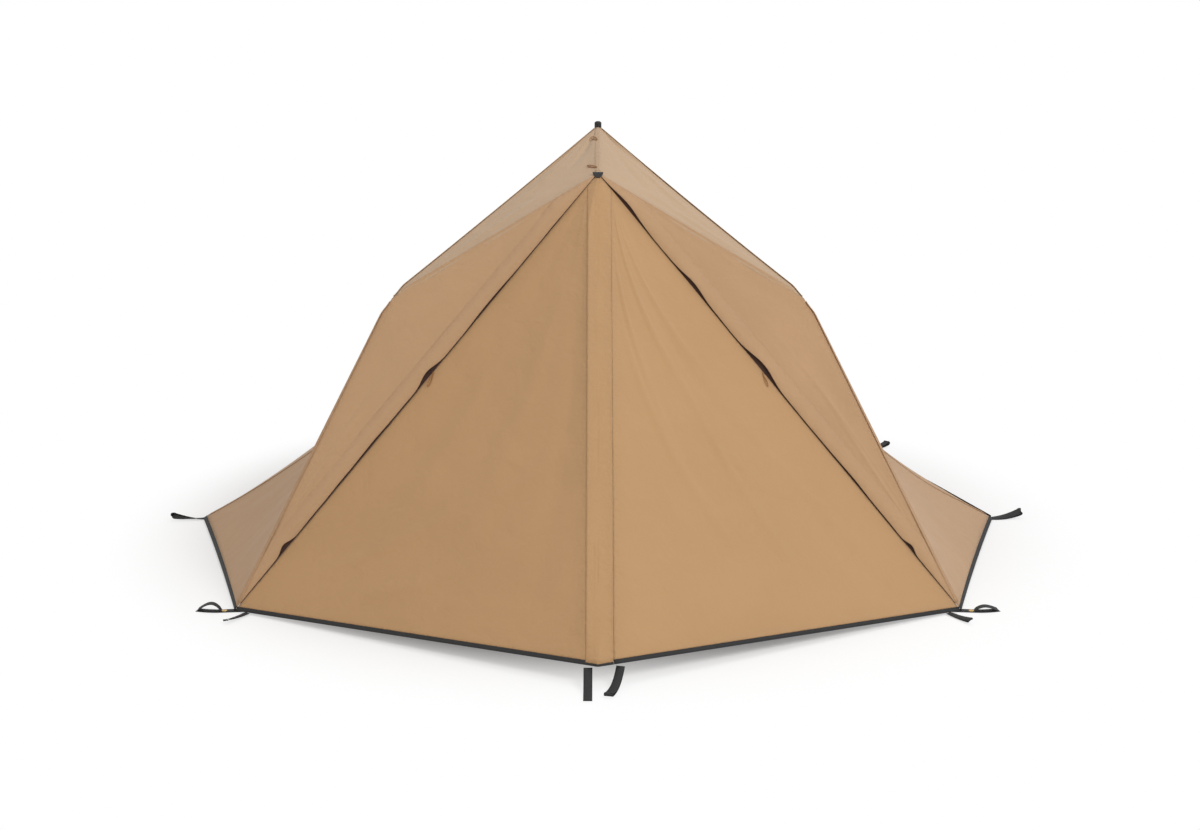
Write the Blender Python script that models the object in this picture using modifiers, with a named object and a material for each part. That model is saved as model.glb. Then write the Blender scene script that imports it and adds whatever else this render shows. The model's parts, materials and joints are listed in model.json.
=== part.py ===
"""A small octagonal camping tent with one centre pole, a leaning arch pole and two zipped door halves.

Metres, +Z up. The doors face -Y, and the origin is on the ground under the peak.
"""

from math import cos, exp, hypot, pi, sin, sqrt

import bmesh
import bpy
from mathutils import Matrix, Vector

# Seam corners of the tent, as heights above the ground and reaches from the centre pole
PEAK_HEIGHT = 1.487
APEX_HEIGHT = 1.351
APEX_FORWARD = 0.350
SHOULDER_HEIGHT = 0.954
SHOULDER_HALF_SPAN = 0.705
FRONT_CORNER_HALF_SPAN = 1.180
FRONT_CORNER_FORWARD = 1.010
SIDE_CORNER_HALF_SPAN = 1.510
SIDE_CORNER_FORWARD = 0.015
REAR_CORNER_HALF_SPAN = 1.200
REAR_CORNER_BACK = 0.980
CENTRE_REACH = 1.617
DOOR_LIFT = 0.060
HEM_LIFT = 0.0040

# How far seams sag between their ends
SIDE_SEAM_SAG = 0.155
SHOULDER_SEAM_SAG = {"left": 0.006, "right": 0.024}
REAR_SEAM_SAG = 0.030
HEM_SAG = 0.010

# Cloth, tape and webbing
CLOTH = 0.0010
SEAM_INSET = 0.0009
HEM_WIDTH = 0.020
HEM_THICKNESS = 0.0024
TAPE_GAP = 0.0004
FOLD_HEIGHT = 0.012
WEBBING_WIDTH = 0.030
WEBBING_THICKNESS = 0.0024
LOOP_LENGTH = 0.125
FRONT_LOOP_LENGTH = 0.133
LOOP_TUCK = 0.014
DOOR_LOOP_WIDTH = 0.022
DOOR_LOOP_LIFT = 0.0012
STRAP_TUCK = 0.050
STRAP_SETBACK = 0.012
STRAP_SLANT = -0.10
EYELET_OUT = 0.034
EYELET_BORE = 0.0048
EYELET_WALL = 0.0008
EYELET_BRIM = 0.0090
EYELET_ROLL = 0.0010
CORD_LOOP_RADIUS = 0.0012
CORD_LOOP_HALF_WIDTH = 0.0055
CORD_LOOP_START = 0.006
APEX_PATCH_THICKNESS = 0.0020

# Zips, storm flaps and the cover strip in the middle
ZIP_TAPE_WIDTH = 0.036
ZIP_TAPE_THICKNESS = 0.0012
ZIP_COIL_OFFSET = 0.021
ZIP_COIL_WIDTH = 0.0064
ZIP_COIL_HEIGHT = 0.0026
ZIP_EDGE_GAP = 0.0009
HINGE_LIFT = 0.0042
FLAP_WIDTH = 0.050
FLAP_FREE_EDGE = 0.008
FLAP_LIFT = 0.0082
SLIDER_PLACE = 0.47
SLIDER_LENGTH = 0.020
SLIDER_WIDTH = 0.011
SLIDER_TOP = 0.0060
TAB_WIRE_RADIUS = 0.0008
PULLER_CORD_RADIUS = 0.0010
PULLER_LENGTH = 0.052
PULLER_WRAP = 2.12 * PULLER_CORD_RADIUS
PULLER_PINCH = 1.4 * PULLER_CORD_RADIUS
PULLER_KNEE = 0.004
PULLER_ASIDE = 0.006
STRIP_LEFT = 0.035
STRIP_RIGHT = 0.050
STRIP_GAP = 0.0010
STRIP_START = 0.027

# Poles
RUNNING_GAP = 0.0003
ARCH_RADIUS = 0.0080
ARCH_WALL = 0.0012
ARCH_BEND = 0.055
ARCH_EASE = 0.0030
SPIGOT_LENGTH = 0.040
ARCH_FOOT_NECK = 0.010
ARCH_FOOT_KICK = 0.004
ARCH_STUD_HEIGHT = 0.014
ARCH_STUD_RADIUS = 0.0050
ARCH_STUD_TIP_RADIUS = 0.0042
MAIN_POLE_RADIUS = 0.0110
MAIN_POLE_WALL = 0.0014
MAIN_POLE_SPLIT = 0.760
POLE_FOOT_RADIUS = 0.024
POLE_FOOT_HEIGHT = 0.016
CAP_RADIUS = 0.0125
CAP_RISE = 0.016
CAP_SKIRT = 0.034

# The panels' tops under the cap, and the bend of the side panel over the arch's elbow
FAN_START = 0.75 * CAP_RADIUS
SHOULDER_BEND_REACH = 0.110
SHOULDER_BEND_CUT = 0.014
ELBOW_ROOM = 0.8

# Folds run from one place on a panel to another, as shares of its width and height
SIDE_FOLDS = (((0.80, 0.45), (0.45, 0.85), 0.050), ((0.72, 0.30), (0.25, 0.75), 0.050))
DOOR_FOLDS = (((0.30, 0.30), (0.42, 0.80), 0.055), ((0.62, 0.45), (0.70, 0.90), 0.050))
ROOF_FOLDS = (((0.45, 0.30), (0.80, 0.80), 0.060),)

SIDES = {"left": -1, "right": 1}
CENTRE = Vector((0, 0, 0.45))


def clear_scene():
    for obj in list(bpy.data.objects):
        bpy.data.objects.remove(obj, do_unlink=True)


def collection(name):
    made = bpy.data.collections.new(name)
    bpy.context.scene.collection.children.link(made)
    return made


def material(name, colour, roughness, metallic=0.0):
    made = bpy.data.materials.new(name)
    made.use_nodes = True
    shader = made.node_tree.nodes["Principled BSDF"]
    shader.inputs["Base Color"].default_value = (*colour, 1)
    shader.inputs["Roughness"].default_value = roughness
    shader.inputs["Metallic"].default_value = metallic
    return made


def finish(obj, finish_material, smooth=True):
    """Puts a piece in the tent's collection with its material."""
    PARTS.objects.link(obj)
    obj.data.materials.append(finish_material)
    if smooth and obj.type == "MESH":
        obj.data.shade_smooth()
    return obj


def helper(obj):
    """Puts a cutter or a shape to be joined in the helpers' collection."""
    HELPERS.objects.link(obj)
    obj.hide_render = True
    obj.display_type = "WIRE"
    return obj


def boolean(obj, other, operation):
    step = obj.modifiers.new(operation.title(), "BOOLEAN")
    step.operation = operation
    step.object = other


def seam(start, end, sag=Vector()):
    """A seam from start to end that sags by a parabola."""
    return lambda t: start.lerp(end, t) + sag * (4 * t * (1 - t))


def patch(top, bottom, left, right):
    """The surface stretched between four seams that meet at their ends."""

    def point(u, v):
        down = top(u) * (1 - v) + bottom(u) * v
        across = left(v) * (1 - u) + right(v) * u
        corners = left(0).lerp(right(0), u).lerp(left(1).lerp(right(1), u), v)
        return down + across - corners

    point.left, point.right = left, right
    return point


def seam_length(curve, steps=24):
    points = [curve(step / steps) for step in range(steps + 1)]
    return sum((b - a).length for a, b in zip(points, points[1:]))


def outward(surface, u, v, step=0.002):
    """The surface's normal at u, v, on the side that its middle turns away from the inside of the tent."""

    def turned_normal(a, b):
        across = surface(min(1, a + step), b) - surface(max(0, a - step), b)
        down = surface(a, min(1, b + step)) - surface(a, max(0, b - step))
        return across.cross(down).normalized()

    faces_out = turned_normal(0.5, 0.5).dot(surface(0.5, 0.5) - CENTRE) > 0
    return turned_normal(u, v) if faces_out else -turned_normal(u, v)


def grid_sheet(name, columns, rows, place, thickness, finish_material):
    """A sheet of cloth, tape or webbing: a grid laid out by place(u, v), with a wall from Solidify."""
    mesh = bpy.data.meshes.new(name)
    bm = bmesh.new()
    bmesh.ops.create_grid(bm, x_segments=columns, y_segments=rows, size=0.5)
    for vertex in bm.verts:
        vertex.co = place(vertex.co.x + 0.5, vertex.co.y + 0.5)
    bmesh.ops.triangulate(bm, faces=bm.faces[:])
    bm.to_mesh(mesh)
    bm.free()
    obj = bpy.data.objects.new(name, mesh)
    wall = obj.modifiers.new("Wall", "SOLIDIFY")
    wall.thickness = thickness
    wall.offset = 0
    wall.use_even_offset = True
    return finish(obj, finish_material)


def turned(name, profile, base, direction, finish_material, steps=20, closed=False):
    """A turned piece: profile is (radius, height) pairs down the outer side, and base is its zero."""
    points = [(radius, 0, height) for radius, height in profile]
    edges = [(i, i + 1) for i in range(len(points) - 1)]
    if closed:
        edges.append((len(points) - 1, 0))
    mesh = bpy.data.meshes.new(name)
    mesh.from_pydata(points, edges, [])
    obj = bpy.data.objects.new(name, mesh)
    obj.location = base
    obj.rotation_euler = direction.to_track_quat("Z", "Y").to_euler()
    spin = obj.modifiers.new("Turn", "SCREW")
    spin.steps = spin.render_steps = steps
    spin.use_merge_vertices = True
    spin.merge_threshold = 0.00002
    return finish(obj, finish_material)


def hollow_tube(name, start, end, radius, wall, finish_material):
    length = (end - start).length
    bore = radius - wall
    profile = [(radius, length), (radius, 0), (bore, 0), (bore, length)]
    return turned(name, profile, start, end - start, finish_material, 16, closed=True)


def bent_rod(name, points, radii, finish_material, cyclic=False, resolution=3):
    """A rod, cord or bent tube along points, with its own radius at each of them."""
    curve = bpy.data.curves.new(name, "CURVE")
    curve.dimensions = "3D"
    curve.bevel_depth = 1.0
    curve.bevel_resolution = resolution
    curve.use_fill_caps = True
    spline = curve.splines.new("POLY")
    spline.points.add(len(points) - 1)
    for place, point, radius in zip(spline.points, points, radii):
        place.co = (*point, 1)
        place.radius = radius
    spline.use_cyclic_u = cyclic
    obj = bpy.data.objects.new(name, curve)
    return finish(obj, finish_material, smooth=False)


def corner_points(side):
    """The tent's seam corners on one side: -1 is left, 1 is right."""
    rise = (SHOULDER_HEIGHT - HEM_LIFT) / (APEX_HEIGHT - HEM_LIFT)
    shoulder_forward = FRONT_CORNER_FORWARD + (APEX_FORWARD - FRONT_CORNER_FORWARD) * rise
    return {
        "peak": Vector((0, 0, PEAK_HEIGHT)),
        "apex": Vector((0, -APEX_FORWARD, APEX_HEIGHT)),
        "door": Vector((0, -CENTRE_REACH, DOOR_LIFT)),
        "back": Vector((0, CENTRE_REACH, HEM_LIFT)),
        "shoulder": Vector((side * SHOULDER_HALF_SPAN, -shoulder_forward, SHOULDER_HEIGHT)),
        "front": Vector((side * FRONT_CORNER_HALF_SPAN, -FRONT_CORNER_FORWARD, HEM_LIFT)),
        "flank": Vector((side * SIDE_CORNER_HALF_SPAN, -SIDE_CORNER_FORWARD, HEM_LIFT)),
        "rear": Vector((side * REAR_CORNER_HALF_SPAN, REAR_CORNER_BACK, HEM_LIFT)),
    }


def blunted(point, side):
    """Draws cloth near a shoulder inwards, where it bends over the arch's elbow."""
    at = corner_points(side)
    corner = at["shoulder"]
    reach = (point - corner).length / SHOULDER_BEND_REACH
    if reach > 1:
        return point
    inwards = ((at["apex"] - corner).normalized() + (at["front"] - corner).normalized()).normalized()
    return point + inwards * SHOULDER_BEND_CUT * (1 - reach * reach) ** 2


def surfaces(name, side):
    """The patches of one side of the tent."""
    at = corner_points(side)
    peak, apex, shoulder, front = at["peak"], at["apex"], at["shoulder"], at["front"]
    inward = Vector((-side, 0, 0))
    down = Vector((0, 0, -1))
    flank_seam = seam(peak, at["flank"], (inward + down) * SIDE_SEAM_SAG / sqrt(2))
    rear_sag = (Vector((-side, -1, -1)).normalized()) * REAR_SEAM_SAG
    rear_seam = seam(peak, at["rear"], rear_sag)
    shoulder_seam = seam(peak, shoulder, down * SHOULDER_SEAM_SAG[name])
    towards_pole = -(at["flank"] + front).normalized()
    return {
        "roof": patch(lambda u: peak, seam(apex, shoulder), seam(peak, apex), shoulder_seam),
        "side": patch(
            shoulder_seam,
            seam(at["flank"], front, Vector((towards_pole.x, towards_pole.y, 0)) * HEM_SAG),
            flank_seam,
            seam(shoulder, front),
        ),
        "rear_side": patch(lambda u: peak, seam(at["rear"], at["flank"]), rear_seam, flank_seam),
        "rear": patch(lambda u: peak, seam(at["back"], at["rear"]), seam(peak, at["back"]), rear_seam),
        "door": patch(lambda u: apex, seam(at["door"], front), seam(apex, at["door"]), seam(apex, front)),
    }


def panel(name, surface, top_trim, bottom_trim, columns, rows, finish_material, folds=()):
    """One cloth panel of a surface, drawn in from its seams, with soft folds standing out of it."""
    lengths = seam_length(surface.left), seam_length(surface.right)
    starts = [top_trim / length for length in lengths]
    ends = [1 - bottom_trim / length for length in lengths]

    def place(u, v):
        start = starts[0] + (starts[1] - starts[0]) * u
        end = ends[0] + (ends[1] - ends[0]) * u
        down = start + (end - start) * v
        rung = (surface(1, down) - surface(0, down)).length
        inset = SEAM_INSET / rung
        across = inset + u * (1 - 2 * inset)
        lift = sum(fold_lift(fold, across, down) for fold in folds)
        free = min(1, 12 * u * (1 - u)) * min(1, 12 * v * (1 - v))
        spot = blunted(surface(across, down), 1 if surface(0.5, 0.5).x > 0 else -1)
        if lift * free < 1e-6:
            return spot
        return spot + outward(surface, across, down) * lift * free

    return grid_sheet(name, columns, rows, place, CLOTH, finish_material)


def fold_lift(fold, u, v):
    """The height of one fold, a soft ridge from one place on a surface to another."""
    (u0, v0), (u1, v1), width = fold
    run = Vector((u1 - u0, v1 - v0))
    along = max(0, min(1, Vector((u - u0, v - v0)).dot(run) / run.length_squared))
    aside = hypot(u - u0 - run.x * along, v - v0 - run.y * along)
    return FOLD_HEIGHT * exp(-((aside / width) ** 2))


def hem_line(surface, steps, lift):
    """Points along a surface's lower seam, or the given distance up the cloth from it."""
    left_end = 1 - lift / seam_length(surface.left)
    right_end = 1 - lift / seam_length(surface.right)
    return [
        surface(step / steps, left_end + (right_end - left_end) * step / steps)
        for step in range(steps + 1)
    ]


def hem(name, uppers, lowers, finish_material):
    """A strip of binding tape between two rows of points, set in from its two ends."""
    uppers, lowers = list(uppers), list(lowers)
    for row in (uppers, lowers):
        row[0] = row[0] + (row[1] - row[0]).normalized() * SEAM_INSET * 2
        row[-1] = row[-1] + (row[-2] - row[-1]).normalized() * SEAM_INSET * 2
    last = len(uppers) - 1

    def place(u, v):
        step = round(u * last)
        return uppers[step].lerp(lowers[step], v)

    return grid_sheet(name, last, 1, place, HEM_THICKNESS, finish_material)


class ZipLine:
    """The line from the front apex to a front corner, with its directions in the arch's plane."""

    def __init__(self, side):
        at = corner_points(side)
        self.apex = at["apex"]
        run = at["front"] - at["apex"]
        self.length = run.length
        self.along = run.normalized()
        to_shoulder = at["shoulder"] - at["apex"]
        self.shoulder_place = to_shoulder.dot(self.along) / self.length
        aside = to_shoulder - self.along * to_shoulder.dot(self.along)
        self.shoulder_aside = aside.length
        self.across = aside.normalized()
        self.out = self.along.cross(self.across).normalized()
        if self.out.y > 0:
            self.out = -self.out

    def at(self, place, aside, lift):
        return self.apex + self.along * self.length * place + self.across * aside + self.out * lift

    def room(self, place):
        """The distance from the line to the edge of the arch's plane."""
        if place < self.shoulder_place:
            return self.shoulder_aside * place / self.shoulder_place
        return self.shoulder_aside * (1 - place) / (1 - self.shoulder_place)

    def spread(self, v, start, end):
        """Places from start to end with one of them at the shoulder."""
        if v < 0.5:
            return start + (self.shoulder_place - start) * 2 * v
        return self.shoulder_place + (end - self.shoulder_place) * (2 * v - 1)

    def matrix(self, place, aside, lift):
        rotation = Matrix((self.across, self.along, self.out)).transposed().to_4x4()
        return Matrix.Translation(self.at(place, aside, lift)) @ rotation


def shoulder_panel(name, line):
    def place(u, v):
        spot = line.spread(v, 0.020, 0.976)
        inner = min(ZIP_TAPE_WIDTH + TAPE_GAP, 0.45 * line.room(spot))
        outer = line.room(spot) - 2 * SEAM_INSET
        return blunted(line.at(spot, inner + (outer - inner) * u, 0), 1 if line.along.x > 0 else -1)

    return grid_sheet(name, 4, 32, place, CLOTH, CANVAS)


def zip_chain(name, line):
    def place(u, v):
        spot = line.spread(v, 0.020, 0.976)
        outer = min(ZIP_TAPE_WIDTH, 0.45 * line.room(spot) - TAPE_GAP)
        return line.at(spot, ZIP_EDGE_GAP + (outer - ZIP_EDGE_GAP) * u, 0)

    tape = grid_sheet(name, 1, 32, place, ZIP_TAPE_THICKNESS, BLACK_TAPE)
    start, end = slider_limits(line)
    length = (end - start) * line.length + 1.2 * SLIDER_LENGTH
    middle = (start + end) / 2
    mesh = bpy.data.meshes.new(name + "_coil")
    bm = bmesh.new()
    height = ZIP_COIL_HEIGHT + ZIP_TAPE_THICKNESS / 2
    scale = Matrix.Diagonal((ZIP_COIL_WIDTH, length, height, 1))
    bmesh.ops.create_cube(bm, size=1, matrix=scale)
    bm.to_mesh(mesh)
    bm.free()
    coil = helper(bpy.data.objects.new(name + "_coil", mesh))
    coil.matrix_world = line.matrix(middle, ZIP_COIL_OFFSET, height / 2)
    boolean(tape, coil, "UNION")
    return tape


def slider_limits(line):
    """The highest and lowest places of the slider, where the storm flap has its full width."""
    full = (FLAP_WIDTH + FLAP_FREE_EDGE) * 1.12
    start = line.shoulder_place * full / line.shoulder_aside
    end = 1 - (1 - line.shoulder_place) * full / line.shoulder_aside
    return start, end


def storm_flap(name, line):
    """The flap over a zip: sewn down on its outer side, standing clear of the zip at its free edge."""
    lows = (0.0015, 0.0017, 0.35 * FLAP_LIFT, FLAP_LIFT - 0.0008, FLAP_LIFT, FLAP_LIFT)
    asides = (1.0, 0.80, 0.70, 0.60, 0.30, 0.0)

    def place(u, v):
        spot = line.spread(v, 0.016, 0.972)
        outer = min(FLAP_WIDTH + FLAP_FREE_EDGE, 0.90 * line.room(spot))
        fullness = outer / (FLAP_WIDTH + FLAP_FREE_EDGE)
        inner = FLAP_FREE_EDGE * fullness
        step = round(u * 5)
        lift = lows[0] + (lows[step] - lows[0]) * fullness
        return line.at(spot, inner + (outer - inner) * asides[step], lift)

    return grid_sheet(name, 5, 16, place, CLOTH, CANVAS)


def box(name, size, centre):
    mesh = bpy.data.meshes.new(name)
    bm = bmesh.new()
    matrix = Matrix.Translation(centre) @ Matrix.Diagonal((*size, 1))
    bmesh.ops.create_cube(bm, size=1, matrix=matrix)
    bm.to_mesh(mesh)
    bm.free()
    return bpy.data.objects.new(name, mesh)


def zip_slider(name, line):
    """The slider straddles the coil, and its wire tab reaches under the flap to the door's edge."""
    frame = line.matrix(SLIDER_PLACE, ZIP_COIL_OFFSET, 0)
    foot = ZIP_TAPE_THICKNESS / 2 + RUNNING_GAP
    body = box(name, (SLIDER_WIDTH, SLIDER_LENGTH, SLIDER_TOP - foot), (0, 0, (SLIDER_TOP + foot) / 2))
    body.matrix_world = frame
    channel = ZIP_COIL_HEIGHT + ZIP_TAPE_THICKNESS / 2 + RUNNING_GAP
    channel_width = ZIP_COIL_WIDTH + 2 * RUNNING_GAP
    cutter = helper(box(name + "_channel", (channel_width, 2 * SLIDER_LENGTH, channel), (0, 0, channel / 2)))
    cutter.matrix_world = frame
    rounding = body.modifiers.new("Rounding", "BEVEL")
    rounding.width = 0.0012
    rounding.segments = 2
    finish(body, ZIP_METAL)
    boolean(body, cutter, "DIFFERENCE")
    half = SLIDER_LENGTH / 4
    near = -SLIDER_WIDTH / 2 + 0.0010
    far = -ZIP_COIL_OFFSET
    route = [Vector(p) for p in ((near, half, HINGE_LIFT), (far, half, HINGE_LIFT))]
    route += [Vector((p.x, -p.y, p.z)) for p in reversed(route)]
    tab = bent_rod(name + "_tab", route, [TAB_WIRE_RADIUS] * 4, ZIP_METAL, resolution=2)
    tab.matrix_world = frame
    boolean(body, helper(as_mesh(tab)), "UNION")
    return body


def as_mesh(curve_object):
    """Turns a curve into a closed mesh in the same place, so that it can be joined or cut."""
    bpy.context.view_layer.update()
    graph = bpy.context.evaluated_depsgraph_get()
    mesh = bpy.data.meshes.new_from_object(curve_object.evaluated_get(graph))
    bm = bmesh.new()
    bm.from_mesh(mesh)
    bmesh.ops.remove_doubles(bm, verts=bm.verts, dist=0.00001)
    bm.to_mesh(mesh)
    bm.free()
    made = bpy.data.objects.new(curve_object.name + "_solid", mesh)
    made.matrix_world = curve_object.matrix_world
    bpy.data.objects.remove(curve_object, do_unlink=True)
    return made


def zip_puller(name, line, door_normal):
    """A thin cord loop round the tab's bar, hanging down the door."""
    pivot = line.at(SLIDER_PLACE, 0, HINGE_LIFT)
    fall = (Vector((0, 0, -1)) + door_normal * door_normal.z).normalized()
    from_edge = -line.across
    from_edge = (from_edge - door_normal * from_edge.dot(door_normal)).normalized()
    points = []
    for step in range(9):
        turn = pi * step / 8
        points.append(pivot - from_edge * PULLER_WRAP * sin(turn) + door_normal * PULLER_WRAP * cos(turn))
    run = [(PULLER_KNEE, 0.0, PULLER_WRAP), (PULLER_ASIDE, PULLER_KNEE, PULLER_WRAP)]
    run += [(PULLER_ASIDE, share * PULLER_LENGTH, PULLER_PINCH) for share in (0.5, 1.0)]
    for aside, down, depth in run:
        points.append(pivot + from_edge * aside + fall * down - door_normal * depth)
    points.append(pivot + from_edge * PULLER_ASIDE + fall * (PULLER_LENGTH + PULLER_PINCH))
    for aside, down, depth in reversed(run):
        points.append(pivot + from_edge * aside + fall * down + door_normal * depth)
    assert HINGE_LIFT - PULLER_WRAP > PULLER_CORD_RADIUS
    return bent_rod(name, points, [PULLER_CORD_RADIUS] * len(points), CORD, cyclic=True, resolution=1)


def strap(name, start, heading, length, width=WEBBING_WIDTH, drop=0.0, curl=0.0, rows=6):
    """Webbing from start along heading on the ground: drop is its height at the start, curl at the end."""
    heading = Vector((*heading, 0)).normalized()
    aside = Vector((-heading.y, heading.x, 0))
    lay = WEBBING_THICKNESS / 2

    def place(u, v):
        height = lay + drop * (1 - v) ** 3 + curl * max(0, (v - 0.6) / 0.4) ** 2
        return start + heading * length * v + aside * width * (u - 0.5) + Vector((0, 0, height))

    return grid_sheet(name, 2, rows, place, WEBBING_THICKNESS, BLACK_TAPE)


def plane_offset(corner, normals, distances, height=None):
    """The point at the given distances inside two or three planes through a corner."""
    rows = [Vector(normal) for normal in normals]
    values = [normal.dot(corner) - distance for normal, distance in zip(rows, distances)]
    if len(rows) < 3:
        rows.append(Vector((0, 0, 1)) if height is not None else Vector((1, 0, 0)))
        values.append(height if height is not None else 0.0)
    return Matrix(rows).inverted() @ Vector(values)


def arch_route(side, faces):
    """The middle line of one half of the arch: foot, shoulder and apex, just inside the cloth."""
    at = corner_points(side)
    arch_plane = ZipLine(side).out
    near = ARCH_RADIUS + CLOTH / 2 + RUNNING_GAP
    eased = near + ARCH_EASE
    side_at_shoulder = outward(faces["side"], 1, 0)
    side_at_foot = outward(faces["side"], 1, 1)
    foot = plane_offset(at["front"], (arch_plane, side_at_foot), (near, eased), height=0.034)
    roof_at_shoulder = outward(faces["roof"], 1, 1)
    planes = (arch_plane, side_at_shoulder, roof_at_shoulder)
    bent = ELBOW_ROOM * SHOULDER_BEND_CUT
    shoulder = plane_offset(at["shoulder"], planes, (near, eased + bent, near + bent))
    roof_at_apex = outward(faces["roof"], 0, 1)
    apex = plane_offset(at["apex"], (arch_plane, roof_at_apex), (near, near))
    return foot, shoulder, apex


def bend_points(before, corner, after, reach, steps=6):
    """Points round a bend that starts and ends the given reach from its corner."""
    start = corner + (before - corner).normalized() * reach
    end = corner + (after - corner).normalized() * reach
    bend = []
    for step in range(steps + 1):
        t = step / steps
        bend.append(start * (1 - t) ** 2 + corner * 2 * t * (1 - t) + end * t * t)
    return bend


def spigoted_bend(name, before, corner, after, reach, finish_material):
    """A bent joint of the tube's own size, with a spigot at each end that slips into the tubes."""
    bend = bend_points(before, corner, after, reach)
    out_start = (before - corner).normalized()
    out_end = (after - corner).normalized()
    spigot = ARCH_RADIUS - ARCH_WALL - RUNNING_GAP
    step = Vector(out_start) * 0.0002
    points = [bend[0] + out_start * SPIGOT_LENGTH, bend[0] + step] + bend
    points += [bend[-1] + out_end * 0.0002, bend[-1] + out_end * SPIGOT_LENGTH]
    radii = [spigot, spigot] + [ARCH_RADIUS] * len(bend) + [spigot, spigot]
    return bent_rod(name, points, radii, finish_material)


def arch_half(name, side, faces):
    foot, shoulder, apex = arch_route(side, faces)
    up = (shoulder - foot).normalized()
    across = (apex - shoulder).normalized()
    hollow_tube("arch_leg_" + name, foot + up * RUNNING_GAP, shoulder - up * (ARCH_BEND + RUNNING_GAP),
                ARCH_RADIUS, ARCH_WALL, POLE_METAL)
    spigoted_bend("arch_elbow_" + name, foot, shoulder, apex, ARCH_BEND, POLE_METAL)
    hollow_tube("arch_rafter_" + name, shoulder + across * (ARCH_BEND + RUNNING_GAP),
                apex - across * (ARCH_BEND + RUNNING_GAP), ARCH_RADIUS, ARCH_WALL, POLE_METAL)
    arch_foot("arch_foot_" + name, foot, up)
    return shoulder, apex


def arch_foot(name, top, up):
    """The end plug of an arch leg: a spigot in the tube, a shoulder, and a stud that stands on the strap."""
    spigot = ARCH_RADIUS - ARCH_WALL - RUNNING_GAP
    ground = WEBBING_THICKNESS + RUNNING_GAP
    neck = top - up * ARCH_FOOT_NECK
    stud = Vector((neck.x, neck.y, 0)) - Vector((up.x, up.y, 0)) * ARCH_FOOT_KICK
    points = [top + up * SPIGOT_LENGTH, top + up * 0.0002, top, neck]
    points += [stud + Vector((0, 0, ARCH_STUD_HEIGHT)), stud + Vector((0, 0, ground))]
    radii = [spigot, spigot, ARCH_RADIUS, ARCH_RADIUS, ARCH_STUD_RADIUS, ARCH_STUD_TIP_RADIUS]
    return bent_rod(name, points, radii, RUBBER)


def main_pole():
    """The centre pole: a foot on the ground, two tubes with a swaged joint, and a tip under the cap."""
    up = Vector((0, 0, 1))
    radius, bore = MAIN_POLE_RADIUS, MAIN_POLE_RADIUS - MAIN_POLE_WALL
    swage = bore - RUNNING_GAP
    cap_top = PEAK_HEIGHT + CAP_RISE
    top = cap_top - 0.010
    foot_plug = [(0, POLE_FOOT_HEIGHT + 0.035), (bore - RUNNING_GAP, POLE_FOOT_HEIGHT + 0.035),
                 (bore - RUNNING_GAP, POLE_FOOT_HEIGHT), (0.5 * POLE_FOOT_RADIUS + 0.002, POLE_FOOT_HEIGHT),
                 (POLE_FOOT_RADIUS - 0.002, 0.0060), (POLE_FOOT_RADIUS, 0.0040), (POLE_FOOT_RADIUS, 0),
                 (0, 0)]
    turned("main_pole_foot", foot_plug, Vector(), up, RUBBER, 24)
    low = POLE_FOOT_HEIGHT + RUNNING_GAP
    hollow_tube("main_pole_lower", Vector((0, 0, low)), Vector((0, 0, MAIN_POLE_SPLIT)),
                radius, MAIN_POLE_WALL, POLE_METAL)
    inner = swage - MAIN_POLE_WALL
    start = MAIN_POLE_SPLIT + RUNNING_GAP
    end = cap_top - CAP_SKIRT - RUNNING_GAP
    upper = [(radius, end), (radius, start), (swage, start), (swage, start - 0.090),
             (inner, start - 0.090), (inner, start + 0.004), (bore, start + 0.008), (bore, end)]
    turned("main_pole_upper", upper, Vector(), up, POLE_METAL, 16, closed=True)
    plug = bore - RUNNING_GAP
    nose = CAP_RADIUS - 0.0016 - RUNNING_GAP
    tip = [(0, top), (0.6 * nose, top - 0.0008), (nose, top - 0.006), (nose, end + RUNNING_GAP),
           (plug, end + RUNNING_GAP), (plug, end - 0.040), (0, end - 0.040)]
    turned("main_pole_tip", tip, Vector(), up, RUBBER, 20)
    wall_inside = nose + RUNNING_GAP
    cap = [(0, cap_top), (0.55 * CAP_RADIUS, cap_top - 0.0006), (CAP_RADIUS, cap_top - 0.005),
           (CAP_RADIUS, cap_top - CAP_SKIRT), (wall_inside, cap_top - CAP_SKIRT),
           (wall_inside, top - 0.0055), (0.62 * nose, top + 0.0002), (0, top + RUNNING_GAP * 2)]
    turned("peak_cap", cap, Vector(), up, BLACK_TAPE, 24)


def peak_hole():
    """A cutter for the round opening that the seams leave for the cap."""
    mesh = bpy.data.meshes.new("peak_hole")
    bm = bmesh.new()
    bmesh.ops.create_cone(bm, cap_ends=True, segments=24, radius1=CAP_RADIUS + 2 * RUNNING_GAP,
                          radius2=CAP_RADIUS + 2 * RUNNING_GAP, depth=0.12)
    bm.to_mesh(mesh)
    bm.free()
    cutter = helper(bpy.data.objects.new("peak_hole", mesh))
    cutter.location = (0, 0, PEAK_HEIGHT)
    return cutter


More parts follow.
